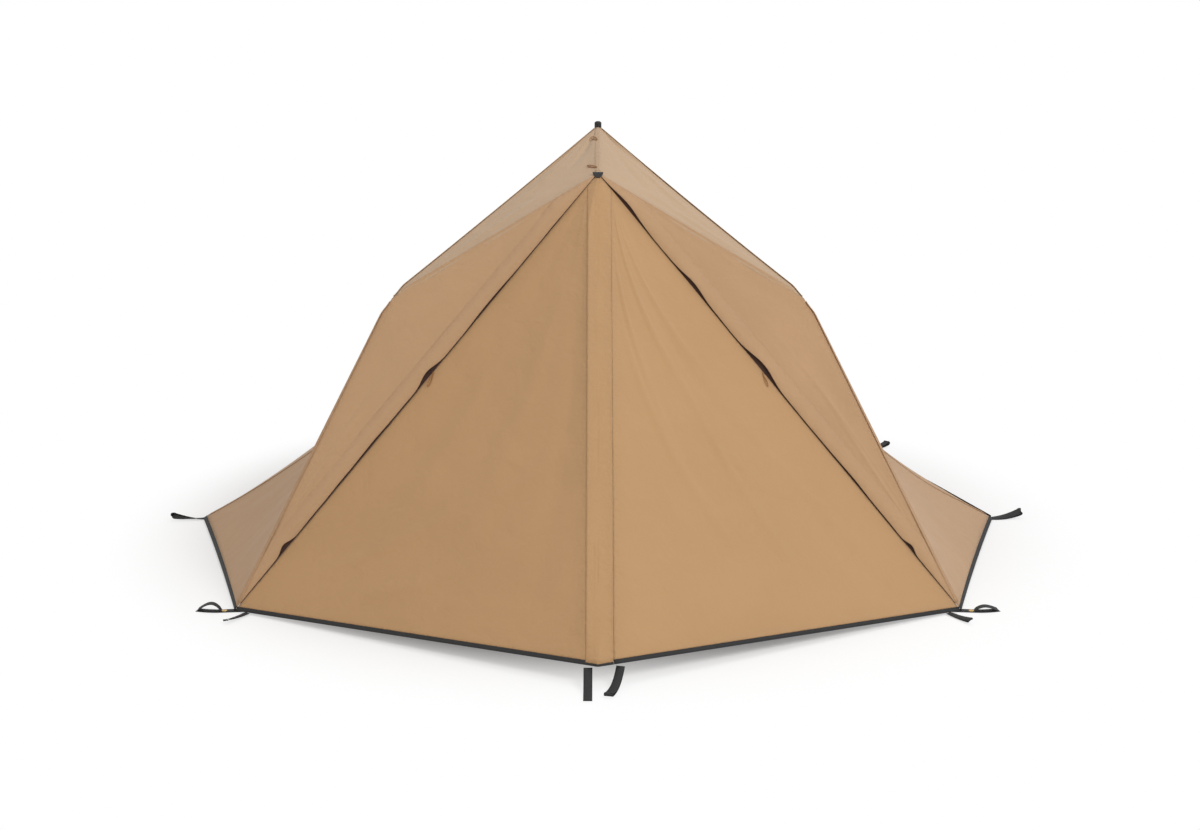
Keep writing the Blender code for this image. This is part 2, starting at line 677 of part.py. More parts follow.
def door_half(name, side, surface, other=None):
    """A door half from its strip to the hinge line. Its hem also binds the strip if other is given."""
    at = corner_points(side)
    strip = (STRIP_LEFT if name == "left" else STRIP_RIGHT) + STRIP_GAP
    rise = seam_length(surface.left)
    base = (at["front"] - at["door"]).length
    start = 1.12 * strip / base
    end = 1 - (HEM_WIDTH + TAPE_GAP) / rise

    def cross(down, u):
        rung = (surface(1, down) - surface(0, down)).length
        inner, outer = strip / rung, 1 - ZIP_EDGE_GAP / rung
        return surface(inner + (outer - inner) * u, down)

    def place(u, v):
        down = start + (end - start) * v
        lift = sum(fold_lift(fold, u, v) for fold in DOOR_FOLDS)
        free = min(1, 12 * u * (1 - u)) * min(1, 12 * v * (1 - v))
        return cross(down, u) + outward(surface, 0.5, 0.5) * lift * free

    grid_sheet("door_panel_" + name, 10, 12, place, CLOTH, CANVAS)
    steps = 8
    uppers = [cross(1 - HEM_WIDTH / rise, step / steps) for step in range(steps + 1)]
    lowers = [cross(1, step / steps) for step in range(steps + 1)]
    if other:
        uppers = strip_points(1 - HEM_WIDTH / rise, surface, other)[::-1] + uppers[1:]
        lowers = strip_points(1, surface, other)[::-1] + lowers[1:]
    hem("door_hem_" + name, uppers, lowers, BLACK_TAPE)


def strip_points(down, left_surface, right_surface):
    """Five points across the middle strip, over the ridge between the doors, from its left edge."""
    points = []
    for aside in (-STRIP_LEFT, -0.5 * STRIP_LEFT, 0, 0.5 * STRIP_RIGHT, STRIP_RIGHT):
        surface = left_surface if aside < 0 else right_surface
        rung = (surface(1, down) - surface(0, down)).length
        reach = min(abs(aside), abs(aside) / STRIP_RIGHT * (rung - 0.004))
        points.append(surface(reach / rung, down))
    return points


def centre_flap(left_surface, right_surface):
    """The cover strip over the middle of the doors, bent along their ridge, with a pointed top."""
    start = STRIP_START / seam_length(left_surface.left)
    end = 1 - (HEM_WIDTH + TAPE_GAP) / seam_length(left_surface.left)

    def place(u, v):
        points = strip_points(start + (end - start) * v * v, left_surface, right_surface)
        return points[round(u * 4)]

    return grid_sheet("centre_flap", 4, 18, place, CLOTH * 1.5, CANVAS)


def ridge_cord(name, ridge, place, reach, swing):
    """A thin cord loop sewn into the ridge seam, lying on the left of the roof."""
    roof = surfaces("left", -1)["roof"]
    root = ridge(place)
    normal = outward(roof, 0.1, place)
    tangent = (ridge(1) - ridge(0)).normalized()
    aside = normal.cross(tangent).normalized()
    aside = aside if aside.x < 0 else -aside
    heading = (aside + tangent * swing).normalized()
    width = heading.cross(normal).normalized()
    lift = CLOTH / 2 + CORD_LOOP_RADIUS + RUNNING_GAP
    points = []
    for step in range(16):
        angle = 2 * pi * step / 16
        along = reach * (0.5 - 0.5 * cos(angle)) + CORD_LOOP_START
        spread = 0.45 + along / reach
        spot = root + heading * along + width * CORD_LOOP_HALF_WIDTH * sin(angle) * spread
        points.append(spot + normal * lift)
    return bent_rod(name, points, [CORD_LOOP_RADIUS] * 16, CORD, cyclic=True, resolution=1)


def apex_patch():
    """The stiff black patch over the tops of both zips, drawn in to a point below."""
    at = corner_points(1)
    outline = [(-0.0185, 0.003), (-0.0175, -0.005), (-0.007, -0.021), (0.007, -0.021), (0.0175, -0.005),
               (0.0185, 0.003)]
    curve = bpy.data.curves.new("apex_patch", "CURVE")
    curve.dimensions = "2D"
    curve.fill_mode = "BOTH"
    curve.extrude = APEX_PATCH_THICKNESS / 2
    spline = curve.splines.new("POLY")
    spline.points.add(len(outline) - 1)
    for place, (x, y) in zip(spline.points, outline):
        place.co = (x, y, 0, 1)
    spline.use_cyclic_u = True
    obj = bpy.data.objects.new("apex_patch", curve)
    up = (at["apex"] - at["door"]).normalized()
    out = Vector((1, 0, 0)).cross(up)
    rotation = Matrix((Vector((1, 0, 0)), up, out)).transposed().to_4x4()
    lift = APEX_PATCH_THICKNESS / 2 + TAPE_GAP
    obj.matrix_world = Matrix.Translation(at["apex"] + out * lift) @ rotation
    finish(obj, BLACK_TAPE, smooth=False)


def corner_strap(name, side):
    """The front corner's webbing: under the arch foot inside, and out past the corner to its eyelet."""
    at = corner_points(side)["front"]
    start = Vector((at.x - side * STRAP_TUCK, at.y + STRAP_SETBACK, 0))
    made = strap("corner_strap_" + name, start, (side, STRAP_SLANT), STRAP_TUCK + LOOP_LENGTH)
    along = STRAP_SLANT * (STRAP_TUCK + EYELET_OUT)
    hole = Vector((at.x + side * EYELET_OUT, at.y + STRAP_SETBACK + along, 0))
    mesh = bpy.data.meshes.new("eyelet_hole")
    bm = bmesh.new()
    neck = EYELET_BORE + EYELET_WALL + RUNNING_GAP
    bmesh.ops.create_cone(bm, cap_ends=True, segments=16, radius1=neck, radius2=neck, depth=0.03)
    bm.to_mesh(mesh)
    bm.free()
    cutter = helper(bpy.data.objects.new("eyelet_hole_" + name, mesh))
    cutter.location = hole
    boolean(made, cutter, "DIFFERENCE")
    top = WEBBING_THICKNESS + RUNNING_GAP
    brim = top + EYELET_ROLL
    outer = EYELET_BORE + EYELET_WALL
    ring = [(EYELET_BRIM, brim - 0.0004), (EYELET_BRIM, top), (outer, top), (outer, 0.0004),
            (EYELET_BORE, 0.0004), (EYELET_BORE, brim)]
    turned("corner_eyelet_" + name, ring, hole, Vector((0, 0, 1)), BRASS, 16, closed=True)
    return hole


def loops(name, side):
    at = corner_points(side)
    flank, rear, front, door = at["flank"], at["rear"], at["front"], at["door"]
    strap("side_peg_loop_" + name, Vector((flank.x - side * LOOP_TUCK, flank.y, 0)), (side, 0),
          LOOP_LENGTH + LOOP_TUCK, curl=0.006)
    out = Vector((rear.x, rear.y)).normalized()
    start = Vector((rear.x - out.x * LOOP_TUCK, rear.y - out.y * LOOP_TUCK, 0))
    strap("rear_side_peg_loop_" + name, start, (out.x, out.y), LOOP_LENGTH + LOOP_TUCK, curl=0.004)
    near = front.lerp(door, 0.040)
    heading = Vector((side * 0.60, -0.80))
    lifted = strap("door_corner_loop_" + name, Vector((near.x, near.y - 0.004, 0)), heading, LOOP_LENGTH,
                   width=DOOR_LOOP_WIDTH, drop=0.0028, curl=0.008)
    lifted.location.z = DOOR_LOOP_LIFT
    centre = -0.030 if name == "left" else STRIP_RIGHT + STRIP_GAP + 0.018
    heading = Vector((0.0, -1.0)) if name == "left" else Vector((-0.20, -1.0))
    fall = (DOOR_LIFT - HEM_LIFT) * abs(centre) / FRONT_CORNER_HALF_SPAN
    drop = DOOR_LIFT - fall - WEBBING_THICKNESS - DOOR_LOOP_LIFT - 0.0008
    start = Vector((centre, -CENTRE_REACH - 0.0005 + abs(centre) * 0.51, 0))
    lifted = strap("front_peg_loop_" + name, start, heading, FRONT_LOOP_LENGTH, drop=drop, rows=10)
    lifted.location.z = DOOR_LOOP_LIFT


clear_scene()
PARTS = collection("tent")
HELPERS = collection("helpers")
CANVAS_ROOF = material("canvas_roof", (0.58, 0.43, 0.30), 0.85)
CANVAS = material("canvas", (0.45, 0.28, 0.15), 0.85)
BLACK_TAPE = material("black_tape", (0.03, 0.03, 0.03), 0.75)
CORD = material("cord", (0.35, 0.18, 0.07), 0.8)
BRASS = material("brass", (0.60, 0.42, 0.16), 0.35, 1.0)
ZIP_METAL = material("zip_metal", (0.06, 0.06, 0.06), 0.4, 1.0)
POLE_METAL = material("pole_metal", (0.55, 0.56, 0.58), 0.35, 1.0)
RUBBER = material("rubber", (0.03, 0.03, 0.03), 0.7)


def main():
    faces = {name: surfaces(name, side) for name, side in SIDES.items()}
    hole = peak_hole()
    under_hem = HEM_WIDTH + TAPE_GAP
    for name, side in SIDES.items():
        own = faces[name]
        roof = panel("roof_panel_" + name, own["roof"], FAN_START, 2 * SEAM_INSET, 16, 12, CANVAS_ROOF,
                     ROOF_FOLDS)
        flank = panel("side_panel_" + name, own["side"], 2 * SEAM_INSET, under_hem, 16, 16, CANVAS,
                      SIDE_FOLDS)
        rear_side = panel("rear_side_panel_" + name, own["rear_side"], FAN_START, under_hem, 8, 12, CANVAS)
        rear = panel("rear_panel_" + name, own["rear"], FAN_START, under_hem, 6, 12, CANVAS)
        for piece in (roof, flank, rear_side, rear):
            boolean(piece, hole, "DIFFERENCE")
        upper, lower = (hem_line(own["side"], 12, lift) for lift in (HEM_WIDTH, 0))
        hem("side_hem_" + name, upper, lower, BLACK_TAPE)
        line = ZipLine(side)
        shoulder_panel("shoulder_panel_" + name, line)
        zip_chain("zip_chain_" + name, line)
        storm_flap("storm_flap_" + name, line)
        zip_slider("zip_slider_" + name, line)
        zip_puller("zip_puller_" + name, line, outward(own["door"], 0.5, 0.5))
        door_half(name, side, own["door"], faces["right"]["door"] if name == "left" else None)
        loops(name, side)
        corner_strap(name, side)
        joint, apex = arch_half(name, side, own)
    rear_rows = []
    for lift in (HEM_WIDTH, 0):
        right_side = hem_line(faces["right"]["rear_side"], 4, lift)[::-1]
        right_back = hem_line(faces["right"]["rear"], 4, lift)[::-1]
        left_back = hem_line(faces["left"]["rear"], 4, lift)
        left_side = hem_line(faces["left"]["rear_side"], 4, lift)
        rear_rows.append(right_side + right_back[1:] + left_back[1:] + left_side[1:])
    hem("rear_hem", rear_rows[0], rear_rows[1], BLACK_TAPE)
    centre_flap(faces["left"]["door"], faces["right"]["door"])
    mirrored = Vector((-joint.x, joint.y, joint.z))
    spigoted_bend("arch_apex_joint", mirrored, apex, joint, ARCH_BEND, POLE_METAL)
    back = corner_points(1)["back"]
    strap("rear_peg_loop", Vector((0, back.y - LOOP_TUCK, 0)), (0, 1), FRONT_LOOP_LENGTH + LOOP_TUCK)
    main_pole()
    ridge = surfaces("left", -1)["roof"].left
    ridge_cord("ridge_cord_upper", ridge, 0.31, 0.030, -0.55)
    ridge_cord("ridge_cord_lower", ridge, 0.86, 0.040, -0.30)
    apex_patch()


main()
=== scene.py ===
"""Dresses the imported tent: canvas panels, seams, storm flaps, zips, webbing, cords and the stage."""

import json
from math import cos, exp, pi, radians, sin

import bmesh
import bpy
import numpy as np
from mathutils import Matrix, Vector
from mathutils import noise as random_field

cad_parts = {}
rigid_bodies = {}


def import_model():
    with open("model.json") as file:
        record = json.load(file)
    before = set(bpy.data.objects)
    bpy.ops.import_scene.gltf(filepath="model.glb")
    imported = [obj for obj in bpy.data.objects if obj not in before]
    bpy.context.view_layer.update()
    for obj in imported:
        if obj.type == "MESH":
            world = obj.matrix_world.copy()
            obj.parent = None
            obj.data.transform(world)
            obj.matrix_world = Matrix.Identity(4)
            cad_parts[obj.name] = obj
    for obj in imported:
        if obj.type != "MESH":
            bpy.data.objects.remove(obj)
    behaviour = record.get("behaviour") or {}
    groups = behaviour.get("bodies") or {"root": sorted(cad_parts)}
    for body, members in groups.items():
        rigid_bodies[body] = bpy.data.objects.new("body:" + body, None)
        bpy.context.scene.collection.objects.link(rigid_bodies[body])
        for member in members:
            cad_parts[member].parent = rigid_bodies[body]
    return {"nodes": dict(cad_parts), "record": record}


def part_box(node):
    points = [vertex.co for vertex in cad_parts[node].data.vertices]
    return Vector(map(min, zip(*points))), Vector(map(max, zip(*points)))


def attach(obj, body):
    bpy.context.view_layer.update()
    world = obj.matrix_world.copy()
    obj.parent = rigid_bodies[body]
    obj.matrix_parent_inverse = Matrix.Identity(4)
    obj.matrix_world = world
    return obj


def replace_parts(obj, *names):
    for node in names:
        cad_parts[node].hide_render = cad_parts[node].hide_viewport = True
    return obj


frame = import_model()

bl_info = {
    "name": "Tent Dressing",
    "version": (1, 0, 0),
    "blender": (4, 5, 0),
    "location": "View3D > Sidebar > Tent",
    "description": "Builds the tent's cloth, seams, zips, webbing and studio on its packed frame",
    "category": "Object",
}

SIDES = {"left": -1, "right": 1}
UP = Vector((0, 0, 1))
INSIDE = Vector((0, 0, 0.45))

# What one step leaves for the next: seam corners, door surfaces and hems to stitch
CORNERS = {}
DOORS = {}
HEM_BANDS = []

# Height of the front corners above the ground, and depth of the peak below the cap's top
CORNER_HEIGHT = 0.004
CAP_SEAT = 0.016

# Lengths of panels from their top to their hem, which turn widths into shares
WING_DROP = 1.15
REAR_DROP = 1.9
DOOR_DROP = 1.8
DOOR_HEM_DROP = 1.81

# Zips: the cloth's edge beside the line, the tape's section and the coil's turns
ZIP_EDGE_GAP = 0.0009
ZIP_TAPE_WIDTH = 0.036
ZIP_TAPE_HALF = 0.0005
# The tape runs on under the door so that the gap at the door's edge shows its dark colour as painted shade
TAPE_UNDER_DOOR_PAINTED_SHADE = 0.0060
COIL_ASIDE = 0.021
COIL_LIFT = 0.0019
COIL_PITCH = 0.0022
COIL_TURN = (0.0064, 0.0013, 0.0026)
PULLER_LIFT = 0.0042
PULLER_PLACE = 0.47
PULLER_REACH = 0.052
PULLER_RADIUS = 0.0010
RIDGE_CORD_RADIUS = 0.0014

# How far each door and its hem run under the middle strip, and how close the strip comes to the zips
DOOR_OVERLAPS = {"left": 0.004, "right": -0.0010}
HEM_OVERLAPS = {"left": 0.0, "right": -0.0020}
STRIP_ROOM = 0.0075

# Seams and webbing
SEAM_THICKNESS = 0.0012
SEAM_LIFT = 0.0012
STITCH_LIFT = 0.0009
RIDGE_SEAM_LAYER = 0.0008
HEM_STITCH_ASIDE = -0.0065
HEM_STITCH_LIFT = 0.0014
CREASE_REACH = 0.016
WEBBING_LAYER = 0.0012
STRAP_WIDTH = 0.0285
EYELET_HOLE = 0.0062

# Folds of a panel: each is (height, start, end, width), with places as shares across and down
ROOF_FOLDS = (
    (0.006, (0.35, 0.80), (0.85, 0.93), 0.050),
    (0.004, (0.45, 0.30), (0.75, 0.75), 0.060),
    (-0.003, (0.20, 0.25), (0.30, 0.70), 0.050),
)
SHOULDER_FOLDS = (
    (0.0014, (0.72, 0.12), (0.84, 0.40), 0.080),
    (0.0022, (0.20, 0.30), (0.85, 0.48), 0.060),
    (0.0022, (0.50, 0.48), (0.30, 0.85), 0.060),
    (0.0016, (0.30, 0.40), (0.60, 0.80), 0.030),
)
REAR_SIDE_FOLDS = ((0.006, (0.5, 0.35), (0.35, 0.85), 0.07),)
REAR_FOLDS = ((0.005, (0.6, 0.3), (0.75, 0.9), 0.07),)
DOOR_FOLDS = {
    "left": (
        (0.0040, (0.30, 0.30), (0.42, 0.80), 0.060),
        (0.0030, (0.62, 0.45), (0.70, 0.90), 0.045),
        (-0.0030, (0.10, 0.50), (0.16, 0.95), 0.040),
        (0.0040, (0.95, 0.96), (0.45, 0.74), 0.018),
        (0.0036, (0.93, 0.97), (0.42, 0.90), 0.016),
        (0.0026, (0.20, 0.92), (0.62, 0.945), 0.012),
        (0.0034, (0.06, 0.58), (0.34, 0.72), 0.018),
        (0.0030, (0.80, 0.99), (0.30, 0.83), 0.015),
    ),
    "right": (
        (0.0040, (0.25, 0.22), (0.60, 0.72), 0.050),
        (0.0046, (0.15, 0.10), (0.45, 0.50), 0.017),
        (0.0044, (0.05, 0.15), (0.30, 0.60), 0.016),
        (0.0044, (0.10, 0.35), (0.40, 0.80), 0.018),
        (0.0036, (0.30, 0.12), (0.62, 0.46), 0.018),
        (-0.0030, (0.40, 0.30), (0.66, 0.62), 0.030),
        (0.0034, (0.70, 0.60), (0.86, 0.90), 0.025),
        (0.0026, (0.25, 0.94), (0.60, 0.955), 0.012),
        (0.0030, (0.45, 0.50), (0.58, 0.86), 0.018),
    ),
}

# Where a storm flap stands off its zip: each is (place down the zip, spread, amount)
FLAP_GAPES = {
    "left": ((0.478, 0.024, 0.0130), (0.864, 0.0150, 0.0125), (0.30, 0.05, 0.0030), (0.64, 0.06, 0.0025)),
    "right": ((0.070, 0.045, 0.0120), (0.270, 0.036, 0.0100), (0.462, 0.040, 0.0150),
              (0.864, 0.0125, 0.0095), (0.70, 0.05, 0.0025)),
}

# Lamps: each is (name, place, size, power, colour), and all are turned towards one point
LAMP_AIM = Vector((0, -0.5, 0.5))
LAMPS = (
    ("key", (2.9, -4.0, 4.4), 2.6, 170, (1.0, 0.98, 0.96)),
    ("fill", (-4.2, -3.8, 2.6), 3.5, 42, (1.0, 0.84, 0.62)),
    ("top", (0.8, 1.6, 5.6), 3.0, 80, (0.97, 0.985, 1.0)),
)

# Material names
CANVAS = "Canvas"
# The roof's copy of the canvas is paler and greyer: painted sheen and sky reflection.
CANVAS_ROOF_PAINTED_SHEEN = "Canvas roof"
# The doors' copy of the canvas is more saturated: painted warm bounce light.
CANVAS_FRONT_PAINTED_BOUNCE = "Canvas front"
# The zip's tape is a real part, coloured the dark brown of the shaded slit: painted shade.
ZIP_TAPE_PAINTED_SHADE = "Zip tape"
TAPE = "Black tape"
THREAD = "Thread"
DARK_THREAD = "Dark thread"
CORD = "Tan cord"
# The coil's turns take the same dark brown: painted shade of the slit.
ZIP_TEETH_PAINTED_SHADE = "Zip teeth"
POLE_METAL = "Pole metal"
ZIP_METAL = "Zip metal"
BRASS = "Brass"
RUBBER = "Black rubber"

# The finish of each material slot that rigid pieces use
FRAME_LOOKS = {
    "pole_metal": POLE_METAL,
    "zip_metal": ZIP_METAL,
    "brass": BRASS,
    "black_rubber": RUBBER,
    "black_tape": TAPE,
}


class CanvasSettings(bpy.types.PropertyGroup):
    """Sizes of the canvas and how it hangs."""

    thickness: bpy.props.FloatProperty(
        name="Thickness", description="Thickness of the canvas", default=0.0009, unit="LENGTH"
    )
    side_sag: bpy.props.FloatProperty(
        name="Side sag", description="Hollow of the seam from peak to side corner", default=0.155,
        unit="LENGTH",
    )
    rear_sag: bpy.props.FloatProperty(
        name="Rear sag", description="Hollow of the seam from peak to rear corner", default=0.030,
        unit="LENGTH",
    )
    flank_slump: bpy.props.FloatProperty(
        name="Flank slump", description="Slack of the right side seam above its corner", default=0.012,
        unit="LENGTH",
    )
    hem_sag: bpy.props.FloatProperty(
        name="Hem sag", description="Hollow of the hem at the wings", default=0.005, unit="LENGTH"
    )
    shoulder_left_sag: bpy.props.FloatProperty(
        name="Left shoulder sag", description="Fall of the left roof edge", default=0.003, unit="LENGTH"
    )
    shoulder_right_sag: bpy.props.FloatProperty(
        name="Right shoulder sag", description="Fall of the right roof edge", default=0.006, unit="LENGTH"
    )
    shoulder_height: bpy.props.FloatProperty(
        name="Shoulder height", description="Sharp shoulder corner above the ground", default=0.954,
        unit="LENGTH",
    )
    shoulder_half_span: bpy.props.FloatProperty(
        name="Shoulder half span", description="Sharp shoulder corner from the pole", default=0.705,
        unit="LENGTH",
    )
    shoulder_rounding: bpy.props.FloatProperty(
        name="Shoulder rounding", description="Reach of the bend over the arch's elbow", default=0.070,
        unit="LENGTH",
    )
    shoulder_cut: bpy.props.FloatProperty(
        name="Shoulder cut", description="How far the bend stays inside the sharp corner", default=0.010,
        unit="LENGTH",
    )
    detail: bpy.props.IntProperty(name="Detail", description="Grid cells along a panel", default=84, min=12)


class TrimSettings(bpy.types.PropertyGroup):
    """Sizes of the tapes, flaps and stitching."""

    hem_width: bpy.props.FloatProperty(
        name="Hem width", description="Width of the black binding", default=0.015, unit="LENGTH"
    )
    hem_thickness: bpy.props.FloatProperty(
        name="Hem thickness", description="Thickness of the folded binding", default=0.0024, unit="LENGTH"
    )
    seam_width: bpy.props.FloatProperty(
        name="Seam width", description="Width of a felled seam", default=0.013, unit="LENGTH"
    )
    ridge_width: bpy.props.FloatProperty(
        name="Ridge width", description="Width of the ridge seam", default=0.018, unit="LENGTH"
    )
    flap_reach: bpy.props.FloatProperty(
        name="Flap reach", description="From the zip line to the flap's sewn edge", default=0.058,
        unit="LENGTH",
    )
    flap_lift: bpy.props.FloatProperty(
        name="Flap lift", description="Height of the flap's crest over the zip", default=0.0108,
        unit="LENGTH",
    )
    strip_left: bpy.props.FloatProperty(
        name="Strip left", description="Middle strip, left of the ridge", default=0.040, unit="LENGTH"
    )
    strip_right: bpy.props.FloatProperty(
        name="Strip right", description="Middle strip, right of the ridge", default=0.050, unit="LENGTH"
    )
    stitch_pitch: bpy.props.FloatProperty(
        name="Stitch pitch", description="From one stitch to the next", default=0.0055, unit="LENGTH"
    )
    stitch_length: bpy.props.FloatProperty(
        name="Stitch length", description="Length of a stitch", default=0.0042, unit="LENGTH"
    )
    webbing_width: bpy.props.FloatProperty(
        name="Webbing width", description="Width of the peg loops", default=0.028, unit="LENGTH"
    )


class StudioSettings(bpy.types.PropertyGroup):
    """The view and the light."""

    distance: bpy.props.FloatProperty(
        name="Distance", description="Camera in front of the pole", default=6.11, unit="LENGTH"
    )
    height: bpy.props.FloatProperty(
        name="Height", description="Camera above the ground", default=1.93, unit="LENGTH"
    )
    pitch: bpy.props.FloatProperty(
        name="Pitch", description="Camera's fall below the horizon", default=radians(14), unit="ROTATION"
    )
    lens: bpy.props.FloatProperty(name="Lens", description="Focal length in millimetres", default=50.0)
    shift: bpy.props.FloatProperty(name="Shift", description="Sideways shift of the image", default=0.0017)


def farthest(node, *direction):
    """The point of a frame node that lies farthest in a direction."""
    heading = Vector(direction)
    return max((vertex.co.copy() for vertex in frame["nodes"][node].data.vertices), key=heading.dot)


def corners(name):
    """The seam corners of one side, read from the frame's solids."""
    side = SIDES[name]
    canvas = bpy.context.scene.tent_canvas
    door = farthest("door_hem_left", 0, -1, -0.4)
    peak = Vector((0, 0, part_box("peak_cap")[1].z - CAP_SEAT))
    joints = {joint["name"]: joint for joint in frame["record"]["behaviour"]["joints"]}
    zip_place, run = (Vector(joints["zip_slider_" + name][key]) for key in ("pos_m", "axis"))
    out = Vector((0, run.z, -run.y)).normalized()
    apex = zip_place - run * (zip_place.x / run.x) - out * PULLER_LIFT
    front = apex + run * ((CORNER_HEIGHT - apex.z) / run.z)
    fallen = (apex.z - canvas.shoulder_height) / (apex.z - front.z)
    shoulder_y = apex.y + (front.y - apex.y) * fallen
    return {
        "peak": peak,
        "apex": apex,
        "door": Vector((0, door.y, door.z)),
        "back": Vector((0, farthest("rear_hem", 0, 1, 0).y, farthest("side_hem_" + name, 0, 0, -1).z)),
        "shoulder": Vector((side * canvas.shoulder_half_span, shoulder_y, canvas.shoulder_height)),
        "front": front,
        "flank": farthest("side_hem_" + name, side, 0, -0.1),
        "rear": farthest("rear_hem", side * 0.85, 0.9, -0.1),
    }


def seam(start, end, sag=Vector()):
    """A seam from start to end that hangs away from the straight line by sag at its middle."""
    return lambda t: start.lerp(end, t) + sag * 4 * t * (1 - t)


def slumped(curve, amount):
    """A seam that also falls slack by amount close above its lower end."""
    return lambda t: curve(t) - UP * amount * exp(-(((t - 0.86) / 0.075) ** 2)) * min(1, 12 * (1 - t))


def patch(top, bottom, left, right):
    """The surface between four seams, as a function of the shares across and down."""
    a, b, c, d = top(0), top(1), bottom(0), bottom(1)

    def point(u, v):
        ruled = top(u) * (1 - v) + bottom(u) * v + left(v) * (1 - u) + right(v) * u
        return ruled - (a * (1 - u) * (1 - v) + b * u * (1 - v) + c * (1 - u) * v + d * u * v)

    point.top, point.bottom, point.left, point.right = top, bottom, left, right
    return point


def seams(name):
    """The named seams of one side."""
    at = CORNERS[name]
    canvas = bpy.context.scene.tent_canvas
    side = SIDES[name]
    hollow = Vector((-side, 0, -1)).normalized() * canvas.side_sag
    rear_hollow = Vector((-side, -1, -1)).normalized() * canvas.rear_sag
    fall = canvas.shoulder_left_sag if name == "left" else canvas.shoulder_right_sag
    slump = canvas.flank_slump if name == "right" else 0.0
    inwards = -(at["flank"] + at["front"]).normalized() * canvas.hem_sag
    inwards.z = 0
    return {
        "ridge": seam(at["peak"], at["apex"]),
        "crease": seam(at["apex"], at["shoulder"]),
        "roof_edge": seam(at["peak"], at["shoulder"], -UP * fall),
        "arris": seam(at["shoulder"], at["front"]),
        "flank": slumped(seam(at["peak"], at["flank"], hollow), slump),
        "wing_foot": seam(at["flank"], at["front"], inwards),
        "rear": seam(at["peak"], at["rear"], rear_hollow),
        "rear_side_foot": seam(at["rear"], at["flank"]),
        "back": seam(at["peak"], at["back"]),
        "back_foot": seam(at["back"], at["rear"]),
        "door_centre": seam(at["apex"], at["door"]),
        "diagonal": seam(at["apex"], at["front"]),
        "door_foot": seam(at["door"], at["front"]),
    }


def surfaces(name):
    """The patches of one side."""
    line = seams(name)
    peak, apex = line["ridge"](0), line["ridge"](1)
    return {
        "roof": patch(lambda u: peak, line["crease"], line["ridge"], line["roof_edge"]),
        "wing": patch(line["roof_edge"], line["wing_foot"], line["flank"], line["arris"]),
        "rear_side": patch(lambda u: peak, line["rear_side_foot"], line["rear"], line["flank"]),
        "rear": patch(lambda u: peak, line["back_foot"], line["back"], line["rear"]),
        "door": patch(lambda u: apex, line["door_foot"], line["door_centre"], line["diagonal"]),
    }


def normal_of(surface, u, v, step=0.004):
    """The surface's normal on its outer side."""

    def turned(a, b):
        across = surface(min(1, a + step), b) - surface(max(0, a - step), b)
        down = surface(a, min(1, b + step)) - surface(a, max(0, b - step))
        return across.cross(down)

    middle = turned(0.5, 0.5)
    if middle.dot(surface(0.5, 0.5) - INSIDE) < 0:
        return -turned(u, v).normalized()
    return turned(u, v).normalized()


def blunted(point):
    """A point near a shoulder drawn inwards, so that the cloth bends round the arch's elbow."""
    canvas = bpy.context.scene.tent_canvas
    at = CORNERS["left" if point.x < 0 else "right"]
    corner = at["shoulder"]
    reach = (point - corner).length / canvas.shoulder_rounding
    if reach >= 1:
        return point
    inwards = ((at["apex"] - corner).normalized() + (at["front"] - corner).normalized()).normalized()
    return point + inwards * canvas.shoulder_cut * (1 - reach * reach) ** 2


def ripple(u, v, folds):
    """The height of long soft folds at a place on a panel."""
    height = 0.0
    for amount, start, end, width in folds:
        run = (end[0] - start[0], end[1] - start[1])
        size = run[0] * run[0] + run[1] * run[1]
        along = max(0, min(1, ((u - start[0]) * run[0] + (v - start[1]) * run[1]) / size))
        aside = ((u - start[0] - run[0] * along) ** 2 + (v - start[1] - run[1] * along) ** 2) / width**2
        height += amount * exp(-aside) * (0.35 + 0.65 * sin(pi * min(1, along + 0.001)))
    return height


def drift(u, v, amount, across, down, seed):
    """Slow uneven waves, about across by down of them over the panel."""
    return amount * random_field.noise(Vector((u * across, v * down, seed)))


def fan(u, v, count, amount, phase=0.0):
    """Fine pleats that spread from a panel's point and fade down it."""
    strength = amount * min(1, 6 * v) * exp(-3.2 * v)
    return strength * sin(count * pi * u + phase) * (0.7 + 0.3 * sin(5.3 * count * u + phase))


def linked(name, data):
    """A new object in the scene."""
    obj = bpy.data.objects.new(name, data)
    bpy.context.scene.collection.objects.link(obj)
    return obj


def mesh_from(name, bm):
    """A new mesh from a bmesh, which is freed."""
    mesh = bpy.data.meshes.new(name)
    bm.to_mesh(mesh)
    bm.free()
    return mesh


def placed(name, mesh, body, slot, smooth=True):
    """A new object that rides on a body; its slot is not used."""
    obj = linked(name, mesh)
    for polygon in mesh.polygons:
        polygon.use_smooth = smooth
    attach(obj, body)
    return obj


def new_object(name, bm, look, body, slot, smooth=True):
    """A piece from a bmesh with its material; _soft is added where a solid has its name."""
    mesh = mesh_from(name, bm)
    mesh.materials.append(bpy.data.materials[look])
    return placed(name + "_soft" if name in frame["nodes"] else name, mesh, body, slot, smooth)


def grid_of(place, columns, rows):
    """Rows of points of a piece of cloth."""
    return [[place(k / columns, r / rows) for k in range(columns + 1)] for r in range(rows + 1)]


